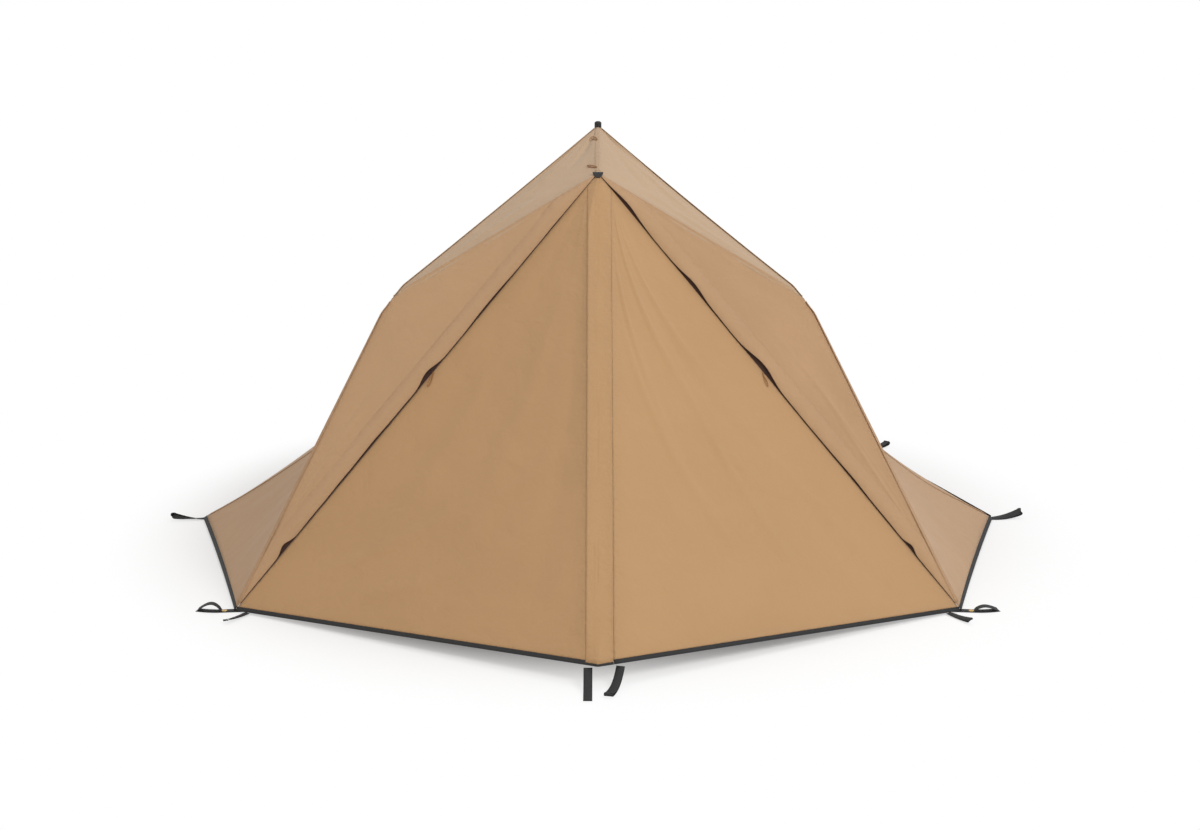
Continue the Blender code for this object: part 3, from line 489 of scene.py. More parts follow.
def cloth(name, place, columns, rows, thickness, look, body, slot="canvas"):
    """A sheet of cloth laid out by place(u, v), with a real thickness and its distance from the edge."""
    bm = bmesh.new()
    uv_layer = bm.loops.layers.uv.new("UVMap")
    grid = grid_of(place, columns, rows)
    normals = grid_normals(grid)
    widths = [(row[-1] - row[0]).length for row in grid]
    height = (grid[-1][columns // 2] - grid[0][columns // 2]).length
    half = thickness / 2
    outer = [[bm.verts.new(p + n * half) for p, n in zip(*both)] for both in zip(grid, normals)]
    inner = [[bm.verts.new(p - n * half) for p, n in zip(*both)] for both in zip(grid, normals)]
    spots = {}
    for row in range(rows + 1):
        for column in range(columns + 1):
            spot = ((column / columns - 0.5) * widths[row], row / rows * height)
            spots[outer[row][column]] = spot
            spots[inner[row][column]] = spot

    def face(*loop):
        made = bm.faces.new(loop)
        for corner in made.loops:
            corner[uv_layer].uv = spots[corner.vert]

    for row in range(rows):
        for column in range(columns):
            a, b = (row, column), (row, column + 1)
            c, d = (row + 1, column + 1), (row + 1, column)
            face(*(outer[r][k] for r, k in (a, d, c, b)))
            face(*(inner[r][k] for r, k in (a, b, c, d)))
    rim = [(0, k) for k in range(columns)] + [(r, columns) for r in range(rows)]
    rim += [(rows, k) for k in range(columns, 0, -1)] + [(r, 0) for r in range(rows, 0, -1)]
    for (r, k), (s, j) in zip(rim, rim[1:] + rim[:1]):
        face(outer[r][k], outer[s][j], inner[s][j], inner[r][k])
    bmesh.ops.recalc_face_normals(bm, faces=bm.faces)
    obj = new_object(name, bm, look, body, slot)
    keep_edge_distance(obj, grid, widths, height)
    return obj


def grid_normals(grid):
    """Outward normals of a grid of points."""
    rows, columns = len(grid) - 1, len(grid[0]) - 1
    normals = []
    for r in range(rows + 1):
        line = []
        for k in range(columns + 1):
            across = grid[r][min(columns, k + 1)] - grid[r][max(0, k - 1)]
            if across.length < 1e-7:
                across = grid[min(rows, r + 1)][min(columns, k + 1)] - grid[min(rows, r + 1)][max(0, k - 1)]
            down = grid[min(rows, r + 1)][k] - grid[max(0, r - 1)][k]
            line.append(across.cross(down).normalized())
        normals.append(line)
    middle = grid[rows // 2][columns // 2]
    if normals[rows // 2][columns // 2].dot(middle - INSIDE) < 0:
        normals = [[-n for n in line] for line in normals]
    return normals


def keep_edge_distance(obj, grid, widths, height):
    """Keeps each point's distance from the panel's seams, for the puckers in its bump and its painted seam
    shade.
    """
    spots = obj.data.uv_layers["UVMap"].data
    distance = obj.data.attributes.new("seam_distance", "FLOAT", "POINT")
    values = [0.0] * len(obj.data.vertices)
    rows = len(grid) - 1
    for loop in obj.data.loops:
        across, down = spots[loop.index].uv
        row = min(rows, max(0, round(down / height * rows)))
        aside = widths[row] / 2 - abs(across)
        values[loop.vertex_index] = max(0.0, min(aside, down, height - down))
    distance.data.foreach_set("value", values)


def ribbon(name, centres, asides, width, thickness, look, body, slot):
    """A band along a line of points: asides are the directions of its width. Its long edges are rounded."""
    bm = bmesh.new()
    uv_layer = bm.loops.layers.uv.new("UVMap")
    half, thick = width / 2, thickness / 2
    bend = min(thick, half) * 0.6
    section = [(-half, -thick + bend), (-half + bend, -thick), (0, -thick), (half - bend, -thick),
               (half, -thick + bend), (half, thick - bend), (half - bend, thick), (0, thick),
               (-half + bend, thick), (-half, thick - bend)]
    rings, run, spots = [], 0.0, {}
    for index, (centre, aside) in enumerate(zip(centres, asides)):
        before, after = centres[max(0, index - 1)], centres[min(len(centres) - 1, index + 1)]
        along = (after - before).normalized()
        aside = (aside - along * aside.dot(along)).normalized()
        out = aside.cross(along).normalized()
        run += (centre - before).length
        ring = [bm.verts.new(centre + aside * x + out * y) for x, y in section]
        for vertex, (x, y) in zip(ring, section):
            spots[vertex] = (run, x)
        rings.append(ring)
    join_rings(bm, rings)
    for face in bm.faces:
        for corner in face.loops:
            corner[uv_layer].uv = spots[corner.vert]
    return new_object(name, bm, look, body, slot)


def join_rings(bm, rings):
    """Faces between rings of vertices, and over both ends."""
    count = len(rings[0])
    for first, second in zip(rings, rings[1:]):
        for k in range(count):
            j = (k + 1) % count
            bm.faces.new((first[k], first[j], second[j], second[k]))
    bm.faces.new(rings[0][::-1])
    bm.faces.new(rings[-1])
    bmesh.ops.recalc_face_normals(bm, faces=bm.faces)


def along_seam(curve, steps, lift, first, second, start=0.0, end=1.0):
    """Points along a seam, raised over two surfaces that meet there, and their sideways directions."""
    centres, asides = [], []
    for step in range(steps + 1):
        t = start + (end - start) * step / steps
        up = (first(t) + second(t)).normalized()
        tangent = (curve(min(1, t + 0.01)) - curve(max(0, t - 0.01))).normalized()
        centres.append(blunted(curve(t)) + up * lift)
        asides.append(up.cross(tangent).normalized())
    return centres, asides


def smoothed(points, times=3):
    """The points with their corners cut, and both ends kept."""
    for _ in range(times):
        cut = [points[0]]
        for a, b in zip(points, points[1:]):
            cut += [a.lerp(b, 0.25), a.lerp(b, 0.75)]
        points = cut + [points[-1]]
    return points


def poly_curve(name, rows):
    """A curve with one run of straight pieces for each row of points."""
    curve = bpy.data.curves.new(name, "CURVE")
    curve.dimensions = "3D"
    for points in rows:
        spline = curve.splines.new("POLY")
        spline.points.add(len(points) - 1)
        for place, point in zip(spline.points, points):
            place.co = (*point, 1)
    return curve


def cord(name, points, radius, body):
    """A thin cord through the points, sewn or tied in at both its ends."""
    points = smoothed(points)
    curve = poly_curve(name, [points])
    curve.bevel_depth = radius
    curve.bevel_resolution = 3
    curve.use_fill_caps = True
    curve.materials.append(bpy.data.materials[CORD])
    obj = linked(name, curve)
    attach(obj, body)
    length = sum((b - a).length for a, b in zip(points, points[1:]))
    tuple(points[0])
    return obj


class ZipLine:
    """The line from the front apex to a front corner, and its directions in the arch's plane."""

    def __init__(self, name):
        at = CORNERS[name]
        self.name = name
        self.apex = at["apex"]
        run = at["front"] - at["apex"]
        self.length = run.length
        self.along = run.normalized()
        to_shoulder = at["shoulder"] - at["apex"]
        self.shoulder_place = to_shoulder.dot(self.along) / self.length
        aside = to_shoulder - self.along * to_shoulder.dot(self.along)
        self.shoulder_aside = aside.length
        self.across = aside.normalized()
        self.out = self.along.cross(self.across).normalized()
        if self.out.y > 0:
            self.out = -self.out

    def at(self, place, aside, lift):
        """The point at a share down the line, a distance beside it and a height over the plane."""
        return self.apex + self.along * self.length * place + self.across * aside + self.out * lift

    def room(self, place):
        """How wide the shoulder is beside a place on the line."""
        if place < self.shoulder_place:
            return self.shoulder_aside * place / self.shoulder_place
        return self.shoulder_aside * (1 - place) / (1 - self.shoulder_place)


class Graph:
    """A node tree whose nodes are added with their settings and inputs in one call."""

    def __init__(self, tree):
        self.nodes, self.links = tree.nodes, tree.links

    def feed(self, socket, value):
        """Links an input to another node's output, or sets it to a value."""
        if isinstance(value, bpy.types.NodeSocket):
            self.links.new(value, socket)
        else:
            socket.default_value = value

    def add(self, kind, inputs=None, **settings):
        """Adds a node and returns its outputs."""
        made = self.nodes.new(kind)
        for name, value in settings.items():
            setattr(made, name, value)
        for key, value in (inputs or {}).items():
            self.feed(made.inputs[key], value)
        return made.outputs

    def maths(self, operation, first, second):
        """One sum of two values."""
        return self.add("ShaderNodeMath", {0: first, 1: second}, operation=operation)["Value"]

    def noise(self, vector, scale, detail, distortion=0.0):
        """A noise texture's value."""
        inputs = {"Vector": vector, "Scale": scale, "Detail": detail, "Distortion": distortion}
        return self.add("ShaderNodeTexNoise", inputs)["Fac"]

    def bump(self, height, strength, distance, before=None):
        """A normal that follows a height, on top of the one before."""
        inputs = {"Height": height, "Strength": strength, "Distance": distance}
        if before:
            inputs["Normal"] = before
        return self.add("ShaderNodeBump", inputs)["Normal"]

    def seen_rays(self):
        """1 for rays that show a surface to the camera, also in metal, and 0 for the light from it."""
        rays = self.add("ShaderNodeLightPath")
        shown = self.maths("MAXIMUM", rays["Is Camera Ray"], rays["Is Glossy Ray"])
        return self.maths("MAXIMUM", shown, rays["Is Transmission Ray"])


def repeat_nodes(name, turn):
    """Geometry Nodes that set copies of a unit out along curves at a pitch, and turn them into real mesh."""
    group = bpy.data.node_groups.new(name + "_nodes", "GeometryNodeTree")
    inputs = {"Geometry": "Geometry", "Unit": "Object", "Pitch": "Float", "Material": "Material"}
    for label, kind in inputs.items():
        group.interface.new_socket(label, in_out="INPUT", socket_type="NodeSocket" + kind)
    group.interface.new_socket("Geometry", in_out="OUTPUT", socket_type="NodeSocketGeometry")
    graph = Graph(group)
    start = graph.add("NodeGroupInput")
    spaced = graph.add("GeometryNodeResampleCurve", {"Curve": start["Geometry"], "Length": start["Pitch"]},
                       mode="LENGTH")
    shape = graph.add("GeometryNodeObjectInfo", {"Object": start["Unit"]})
    copies = {"Points": spaced["Curve"], "Instance": shape["Geometry"]}
    if turn:
        tangent = graph.add("GeometryNodeInputTangent")["Tangent"]
        turned = graph.add("FunctionNodeAlignEulerToVector", {"Vector": tangent}, axis="X")
        copies["Rotation"] = turned["Rotation"]
    spread = graph.add("GeometryNodeInstanceOnPoints", copies)
    real = graph.add("GeometryNodeRealizeInstances", {"Geometry": spread["Instances"]})
    paint = graph.add("GeometryNodeSetMaterial",
                      {"Geometry": real["Geometry"], "Material": start["Material"]})
    graph.add("NodeGroupOutput", {"Geometry": paint["Geometry"]})
    return group


def repeat_along(name, rows, unit, pitch, look, body, slot, turn=True):
    """Copies of a small unit mesh along rows of points. The unit is removed when they are made."""
    route = linked(name + "_route", poly_curve(name + "_route", rows))
    group = repeat_nodes(name, turn)
    modifier = route.modifiers.new("Repeat", "NODES")
    modifier.node_group = group
    named = {item.name: item.identifier for item in group.interface.items_tree if item.in_out == "INPUT"}
    modifier[named["Unit"]] = unit
    modifier[named["Pitch"]] = pitch
    modifier[named["Material"]] = bpy.data.materials[look]
    bpy.context.view_layer.update()
    mesh = bpy.data.meshes.new_from_object(route.evaluated_get(bpy.context.evaluated_depsgraph_get()))
    bpy.data.objects.remove(route)
    bpy.data.objects.remove(unit)
    mesh.name = name
    return placed(name, mesh, body, slot)


def stitch_unit(length, radius=0.00028):
    """One stitch along X: a short rod whose ends dip into the cloth."""
    bm = bmesh.new()
    rings = []
    for x, z, size in ((-0.5, -0.9, 0.5), (-0.32, 0.3, 1.0), (0.32, 0.3, 1.0), (0.5, -0.9, 0.5)):
        rings.append([bm.verts.new((x * length, cos(k * pi / 2.5) * radius * size,
                                    z * radius + sin(k * pi / 2.5) * radius * size)) for k in range(5)])
    join_rings(bm, rings)
    return linked("stitch_unit", mesh_from("stitch_unit", bm))


def stitch_rows(name, bands, look, body, slot="tan_cord"):
    """Rows of stitches: each band is (centres, asides, offsets across it, height over its middle)."""
    trim = bpy.context.scene.tent_trim
    rows = []
    for centres, asides, offsets, height in bands:
        for offset in offsets:
            row = []
            for index, (centre, aside) in enumerate(zip(centres, asides)):
                before, after = centres[max(0, index - 1)], centres[min(len(centres) - 1, index + 1)]
                along = (after - before).normalized()
                flat = (aside - along * aside.dot(along)).normalized()
                out = flat.cross(along).normalized()
                if out.dot(centre - INSIDE) < 0:
                    out = -out
                row.append(centre + flat * offset + out * height)
            rows.append(row)
    return repeat_along(name, rows, stitch_unit(trim.stitch_length), trim.stitch_pitch, look, body, slot)


def colour_of(red, green, blue):
    """A linear colour from 0 to 255 display values."""
    shares = (value / 255 for value in (red, green, blue))
    return tuple(((c + 0.055) / 1.055) ** 2.4 if c > 0.04 else c / 12.92 for c in shares) + (1,)


def principled(name, colour, roughness, metallic=0.0):
    """A new material's graph and shader."""
    made = bpy.data.materials.new(name)
    made.use_nodes = True
    graph = Graph(made.node_tree)
    shader = graph.nodes["Principled BSDF"]
    for label, value in (("Base Color", colour), ("Roughness", roughness), ("Metallic", metallic)):
        shader.inputs[label].default_value = value
    return graph, shader


def canvas_material(name, colour):
    """Cotton canvas: fine weave, faint mottling, soft creases, puckers and painted shade beside the seams.
    """
    graph, shader = principled(name, colour, 0.9)
    shader.inputs["Sheen Weight"].default_value = 0.14
    shader.inputs["Sheen Roughness"].default_value = 0.6
    place = graph.add("ShaderNodeTexCoord")
    solid = place["Object"]
    threads = {"Vector": place["UV"], "Scale": 260.0, "Distortion": 1.5, "Detail Scale": 3.0}
    weave = [graph.add("ShaderNodeTexWave", threads, bands_direction=way)["Fac"] for way in ("X", "Y")]
    distance = graph.add("ShaderNodeAttribute", attribute_name="seam_distance")["Fac"]
    nearness = graph.maths("EXPONENT", graph.maths("MULTIPLY", distance, -38.0), 0.0)
    pucker = graph.maths("MULTIPLY", graph.noise(solid, 75.0, 2.0, 0.3), nearness)
    normal = graph.bump(graph.noise(solid, 7.0, 4.0, 0.6), 0.55, 0.013)
    normal = graph.bump(graph.noise(solid, 34.0, 3.0, 0.8), 0.28, 0.0045, normal)
    normal = graph.bump(pucker, 0.9, 0.0040, normal)
    normal = graph.bump(graph.maths("MAXIMUM", *weave), 0.18, 0.0003, normal)
    graph.feed(shader.inputs["Normal"], normal)
    blotches = graph.noise(solid, 2.6, 4.0, 0.4)
    tone = graph.add("ShaderNodeMapRange", {"Value": blotches, "To Min": 0.93, "To Max": 1.06})["Result"]
    # Painted shade: the cloth is drawn up to 5% darker close to its seams.
    tone = graph.maths("ADD", tone, graph.maths("MULTIPLY", nearness, -0.05))
    shade = graph.add("ShaderNodeVectorMath", {0: colour[:3], "Scale": tone}, operation="SCALE")["Vector"]
    graph.feed(shader.inputs["Base Color"], shade)
    glow = graph.add("ShaderNodeBsdfTranslucent", {"Color": shade, "Normal": normal})["BSDF"]
    mix = graph.add("ShaderNodeMixShader", {"Fac": 0.04, 1: shader.outputs["BSDF"], 2: glow})
    graph.feed(graph.nodes["Material Output"].inputs["Surface"], mix["Shader"])


def woven_material(name, colour, roughness, scale, distance):
    """Tape, webbing or cord: ribs across its length."""
    graph, shader = principled(name, colour, roughness)
    place = graph.add("ShaderNodeTexCoord")
    ribs = graph.add("ShaderNodeTexWave", {"Vector": place["UV"], "Scale": scale, "Distortion": 0.8},
                     bands_direction="DIAGONAL")["Fac"]
    normal = graph.bump(ribs, 0.5, distance)
    normal = graph.bump(graph.noise(place["Object"], 60.0, 3.0), 0.3, 0.0008, normal)
    graph.feed(shader.inputs["Normal"], normal)


def metal_material(name, colour, roughness):
    """Metal with faint rubbed marks."""
    graph, shader = principled(name, colour, roughness, 1.0)
    marks = graph.noise(graph.add("ShaderNodeTexCoord")["Object"], 45.0, 4.0)
    limits = {"Value": marks, "To Min": roughness * 0.85, "To Max": roughness * 1.2}
    graph.feed(shader.inputs["Roughness"], graph.add("ShaderNodeMapRange", limits)["Result"])


def measure(grid):
    """Measures the rectangle that a cloth piece is cut from, and its own area; it returns nothing."""
    area = 0.0
    for upper, lower in zip(grid, grid[1:]):
        for k in range(len(upper) - 1):
            area += (upper[k + 1] - upper[k]).cross(lower[k] - upper[k]).length / 2
            area += (lower[k + 1] - lower[k]).cross(upper[k + 1] - lower[k + 1]).length / 2
    points = np.array([tuple(point) for row in grid for point in row])
    across, along = np.linalg.svd(points - points.mean(axis=0), full_matrices=False)[2][:2]
    flat = np.stack([(points @ across), (points @ along)], axis=1)
    best = None
    for step in range(180):
        angle = pi * step / 180
        turned = flat @ np.array([[cos(angle), -sin(angle)], [sin(angle), cos(angle)]])
        extent = turned.max(axis=0) - turned.min(axis=0)
        if best is None or extent[0] * extent[1] < best[0] * best[1]:
            best = extent
    width, length = sorted(float(side) for side in best)
    width = max(width, area / length * 1.001)


def canvas_piece(name, place, cells, coarse, look, body, slot="canvas", thickness=1.0):
    """A sheet of canvas that stands for the solid of its name, measured on a coarser grid."""
    canvas = bpy.context.scene.tent_canvas
    obj = cloth(name, place, *cells, canvas.thickness * thickness, look, body, slot)
    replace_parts(obj, name)
    measure(grid_of(place, *coarse))


def panel(name, surface, folds, pleats, look, slot, start=0.006, end=1.0, drifts=()):
    """A canvas panel over one patch, with its folds, pleats and slow uneven waves."""
    detail = bpy.context.scene.tent_canvas.detail

    def place(u, v):
        down = start + (end - start) * v
        free = min(1, 10 * u * (1 - u)) * min(1, 10 * v * (1 - v))
        lift = ripple(u, down, folds) + (fan(u, down, *pleats) if pleats else 0)
        lift += sum(drift(u, down, *each) for each in drifts)
        point = blunted(surface(u, down))
        return point + normal_of(surface, u, max(0.01, down)) * lift * free

    canvas_piece(name, place, (detail, detail), (12, 12), look, "tent", slot)


def wing_folds(name):
    """Folds that run from the arch's leg down to the side corner, as the pull of the peg loop makes them."""
    amount = 0.010 if name == "left" else 0.009
    return (
        (amount, (0.80, 0.45), (0.45, 0.85), 0.050),
        (amount * 0.9, (0.72, 0.30), (0.25, 0.75), 0.050),
        (0.004, (0.93, 0.35), (0.88, 0.80), 0.030),
        (0.003, (0.60, 0.12), (0.35, 0.55), 0.040),
        (-0.003, (0.70, 0.55), (0.40, 0.92), 0.035),
    )


class TENT_OT_canvas(bpy.types.Operator):
    """Makes the roof, the wings and the back of the tent"""

    bl_idname = "tent.canvas"
    bl_label = "Make Canvas"

    def execute(self, context):
        hem = context.scene.tent_trim.hem_width / 2
        for name, side in SIDES.items():
            faces = surfaces(name)
            panel("roof_panel_" + name, faces["roof"], ROOF_FOLDS, (9, 0.0042, 0.6 + side),
                  CANVAS_ROOF_PAINTED_SHEEN, "canvas_roof",
                  drifts=((0.0060, 3.0, 1.6, 2.1 + side), (0.0030, 7.0, 3.0, 5.2 + side)))
            panel("side_panel_" + name, faces["wing"], wing_folds(name), None,
                  CANVAS, "canvas", 0.0, 1 - hem / WING_DROP,
                  ((0.0070, 3.5, 1.5, 7.3 + side), (0.0030, 9.0, 3.5, 1.4 + side)))
            panel("rear_side_panel_" + name, faces["rear_side"], REAR_SIDE_FOLDS, (6, 0.0025, 0.2),
                  CANVAS, "canvas", end=1 - hem / REAR_DROP,
                  drifts=((0.0060, 3.0, 1.6, 3.7 + side),))
            panel("rear_panel_" + name, faces["rear"], REAR_FOLDS, (6, 0.0025, 1.1),
                  CANVAS, "canvas", end=1 - hem / REAR_DROP, drifts=((0.0060, 3.0, 1.6, 8.9 + side),))
            self.shoulder(name)
        return {"FINISHED"}

    def shoulder(self, name):
        """The front panel between a zip and the arch, flat in the arch's plane."""
        line = ZipLine(name)
        trim, canvas = bpy.context.scene.tent_trim, bpy.context.scene.tent_canvas

        def place(u, v):
            spot = 0.004 + 0.992 * v
            room = line.room(spot)
            inner = min(trim.flap_reach * 0.66, 0.45 * room)
            free = min(1, 10 * u * (1 - u)) * min(1, 10 * v * (1 - v))
            folds = ripple(u, v, SHOULDER_FOLDS)
            uneven = max(0, drift(u, v, 0.0040, 2.0, 7.0, 4.4 + line.out.x) + 0.0014)
            return blunted(line.at(spot, inner + (room - inner) * u, (folds + uneven) * free))

        canvas_piece("shoulder_panel_" + name, place, (40, canvas.detail * 2), (8, 24), CANVAS, "tent")


def strip_edge(name, rung):
    """How far the middle strip reaches over a door, which narrows to a point at the apex."""
    trim = bpy.context.scene.tent_trim
    reach = trim.strip_left if name == "left" else trim.strip_right
    return min(reach, rung - STRIP_ROOM)


def ridge_relief(aside, rung, down):
    """How far the cloth stands forward of the doors' ridge, because the stiff strip lies flatter."""
    slope, left, right, crest, fade = 0.34, -0.036, 0.050, 0.0075, -0.100
    size = min(1, rung / 0.16)
    aside = aside / size
    if aside > right or aside < fade:
        return 0.0
    crest_depth = -slope * left - crest
    if aside > left:
        share = (aside - left) / (right - left)
        forward = slope * abs(aside) - crest_depth - (slope * right - crest_depth) * share
    else:
        share = (aside - fade) / (left - fade)
        forward = crest * share**1.6
    return forward * size * min(1, (1 - down) / 0.06)


def on_door(name, surface, aside, down, lift=0.0):
    """A point on a door half at a distance from the ridge, with the strip's relief."""
    rung = (surface(1, down) - surface(0, down)).length
    forward = Vector((0, normal_of(surface, 0, 0.5).y, normal_of(surface, 0, 0.5).z)).normalized()
    point = surface(aside / rung, down) + normal_of(surface, 0.5, 0.5) * lift
    return point + forward * ridge_relief(SIDES[name] * aside, rung, down)


def door_cross(name, surface, overlap):
    """A door half's surface from the strip's edge to the zip line."""

    def cross(down, u):
        rung = (surface(1, down) - surface(0, down)).length
        inner, outer = strip_edge(name, rung) - overlap, rung - ZIP_EDGE_GAP
        return on_door(name, surface, inner + (outer - inner) * u, down)

    return cross


def on_strip(down, share, lift=0.0):
    """A point of the middle strip, from share -1 at its left edge to 1 at its right."""
    name = "left" if share < 0 else "right"
    surface = DOORS[name]
    rung = (surface(1, down) - surface(0, down)).length
    return on_door(name, surface, abs(share) * strip_edge(name, rung), down, lift)


class TENT_OT_doors(bpy.types.Operator):
    """Makes the two door halves and the strip over their middle"""

    bl_idname = "tent.doors"
    bl_label = "Make Doors"

    def execute(self, context):
        cells = context.scene.tent_canvas.detail + 30
        end = 1 - 0.5 * context.scene.tent_trim.hem_width / DOOR_DROP
        for name in SIDES:
            self.half(name, 0.018, end, cells)
        self.strip(0.020, end)
        self.facing()
        return {"FINISHED"}

    def half(self, name, start, end, cells):
        """One door half, smooth beside its zip so that the puller hangs clear of it."""
        surface, folds = DOORS[name], DOOR_FOLDS[name]
        cross = door_cross(name, surface, DOOR_OVERLAPS[name])

        def place(u, v):
            down = start + (end - start) * v
            from_zip = (1 - u) * (surface(1, down) - surface(0, down)).length
            free = min(1, 10 * u) * min(1, 10 * v * (1 - v)) * min(1, from_zip / 0.11) ** 1.6
            uneven = drift(u, v, 0.0040, 4.5, 1.4, 1.9 + folds[0][0]) + drift(u, v, 0.0014, 3.0, 11.0, 6.1)
            lift = (ripple(u, v, folds) + uneven) * free
            return cross(down, u) + normal_of(surface, 0.5, 0.5) * lift

        canvas_piece("door_panel_" + name, place, (cells, cells), (10, 16), CANVAS_FRONT_PAINTED_BOUNCE, "door_" + name)

    def strip(self, start, end):
        """The strip over the middle, sewn to the left door."""

        def place(u, v):
            down = start + (end - start) * v * (0.4 + 0.6 * v)
            share = -1 + 2 * u
            lift = 0.0012 + 0.0002 * share
            lift += 0.0005 * sin(23 * v + 2 * u) * min(1, 8 * v) * max(0, share)
            lift += 0.0012 * max(0, sin(pi * u)) * random_field.noise(Vector((u * 3, v * 26, 5.5)))
            return on_strip(down, share, lift)

        canvas_piece("centre_flap", place, (28, bpy.context.scene.tent_canvas.detail * 2), (6, 24),
                     CANVAS_FRONT_PAINTED_BOUNCE, "door_left", thickness=1.3)

    def facing(self):
        """A small piece behind the doors' top, which covers the arch's apex joint."""
        doors_share, thickness = 0.7, 0.0008

        def place(u, v):
            down = 0.002 + 0.034 * v
            name = "left" if u < 0.5 else "right"
            rung = (DOORS[name](1, down) - DOORS[name](0, down)).length
            share = abs(2 * u - 1) / doors_share
            if share <= 1:
                return on_door(name, DOORS[name], share * rung, down, -0.0009)
            line = ZipLine(name)
            return line.at(down, (share - 1) / 0.43 * 0.5 * line.room(down), -0.0003)

        obj = cloth("apex_facing", place, 20, 12, thickness, CANVAS_FRONT_PAINTED_BOUNCE, "tent")
        measure(grid_of(place, 8, 6))


def flap_spot(line, u, v):
    """A point of the storm flap: u 0 is its free edge over the zip, and 1 its sewn edge."""
    trim = bpy.context.scene.tent_trim
    spot = 0.006 + 0.984 * v
    outer = min(trim.flap_reach, 0.92 * line.room(spot))
    fullness = outer / trim.flap_reach
    gape = sum(amount * exp(-(((spot - place) / width) ** 2))
               for place, width, amount in FLAP_GAPES[line.name])
    waver = 0.0016 * random_field.noise(Vector((spot * 16, 3.3 * line.out.x, 0.7)))
    inner = max(0.0004, 0.0006 + (gape + waver) * fullness)
    inner = min(inner, outer * 0.7)
    aside = inner + (outer - inner) * u
    share = (outer - aside) / outer
    rise = 0.72 if line.name == "right" else 1 - 0.28 * min(1, max(0, (spot - 0.70) / 0.14))
    lift = 0.0016 + trim.flap_lift * rise * fullness * sin(0.8 * pi * share)
    lift += gape * 0.25 * (1 - u) ** 2
    return line.at(spot, aside, lift)


class TENT_OT_zips(bpy.types.Operator):
    """Makes the zips with their coils, the storm flaps over them and the cord pullers"""

    bl_idname = "tent.zips"
    bl_label = "Make Zips"

    def execute(self, context):
        detail = context.scene.tent_canvas.detail
        for name in SIDES:
            line = ZipLine(name)
            canvas_piece("storm_flap_" + name, lambda u, v, line=line: flap_spot(line, u, v),
                         (18, detail * 2), (6, 32), CANVAS, "tent", thickness=1.5)
            self.tape(name, line)
            self.puller(name, line)
        return {"FINISHED"}

    def tape(self, name, line):
        """The woven tape, which runs on under the door's edge as painted shade in the gap, and the coil
        along it as separate turns.
        """
        steps = 120
        bm = bmesh.new()
        uv_layer = bm.loops.layers.uv.new("UVMap")
        rings, spots = [], {}
        for step in range(steps + 1):
            place = 0.008 + 0.968 * step / steps
            outer = min(ZIP_TAPE_WIDTH, 0.45 * line.room(place) - 0.0004)
            rings.append([])
            # The first two corners carry the tape on under the door: painted shade in the gap
            for aside, lift in ((-TAPE_UNDER_DOOR_PAINTED_SHADE, -0.0026), (-TAPE_UNDER_DOOR_PAINTED_SHADE, -0.0018),
                                (ZIP_EDGE_GAP, ZIP_TAPE_HALF), (outer, ZIP_TAPE_HALF),
                                (outer, -ZIP_TAPE_HALF), (ZIP_EDGE_GAP, -0.0006)):
                rings[-1].append(bm.verts.new(line.at(place, aside, lift)))
                spots[rings[-1][-1]] = (aside, place * line.length)
        join_rings(bm, rings)
        for face in bm.faces:
            for corner in face.loops:
                corner[uv_layer].uv = spots[corner.vert]
        tape = new_object("zip_tape_" + name, bm, ZIP_TAPE_PAINTED_SHADE, "tent", "black_tape", smooth=False)
        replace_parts(tape, "zip_chain_" + name)
        row = [line.at(0.085 + 0.79 * step / 60, COIL_ASIDE, COIL_LIFT) for step in range(61)]
        repeat_along("zip_coil_" + name, [row], coil_turn(line), COIL_PITCH, ZIP_TEETH_PAINTED_SHADE, "tent", "black_tape",
                     turn=False)

    def puller(self, name, line):
        """A thin cord doubled through the slider's tab, hanging down the door."""
        pivot = line.at(PULLER_PLACE, 0, PULLER_LIFT)
        normal = normal_of(surfaces(name)["door"], 0.5, 0.5)
        fall = (-UP + normal * normal.z).normalized()
        aside = -line.across
        aside = (aside - normal * aside.dot(normal)).normalized()
        side = fall.cross(normal).normalized()
        points = [pivot + normal * 0.0016, pivot + normal * 0.0017 + aside * 0.0030,
                  pivot + normal * 0.0016 + aside * 0.0062 + fall * 0.005]
        hang = pivot + aside * 0.0064
        sways = ((0.3, 0.0024), (0.6, 0.0042), (0.85, 0.0036))
        for share, sway in sways:
            points.append(hang + normal * 0.0014 + fall * PULLER_REACH * share + side * sway)
        points.append(hang + normal * 0.0004 + fall * (PULLER_REACH + 0.0025))
        for share, sway in reversed(sways):
            points.append(hang - normal * 0.0004 + fall * PULLER_REACH * share - side * sway)
        points += [pivot - normal * 0.0010 + aside * 0.0062 + fall * 0.005,
                   pivot - normal * 0.0014 + aside * 0.0030, pivot - normal * 0.0013]
        made = cord("zip_cord_" + name, points, PULLER_RADIUS, "puller_" + name)
        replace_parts(made, "zip_puller_" + name)


def coil_turn(line):
    """One turn of the zip's coil: a thin rounded bar across the line."""
    width, depth, height = COIL_TURN
    bm = bmesh.new()
    for vertex in bmesh.ops.create_cube(bm, size=1)["verts"]:
        x, y, z = vertex.co
        shrink = 0.78 if z > 0 else 1.0
        vertex.co = line.across * x * width * shrink + line.along * y * depth + line.out * z * height
    bmesh.ops.recalc_face_normals(bm, faces=bm.faces)
    return linked("coil_turn", mesh_from("coil_turn", bm))


def hem_rows(surface, steps, width):
    """Points along the middle of a hem, and the directions down across it."""
    left, right = (surface.left(1) - surface.left(0)).length, (surface.right(1) - surface.right(0)).length
    centres, asides = [], []
    for step in range(steps + 1):
        u = step / steps
        share = width / (left * (1 - u) + right * u)
        centres.append(surface(u, 1 - share / 2))
        asides.append(surface(u, 1) - surface(u, 1 - share))
    return centres, asides


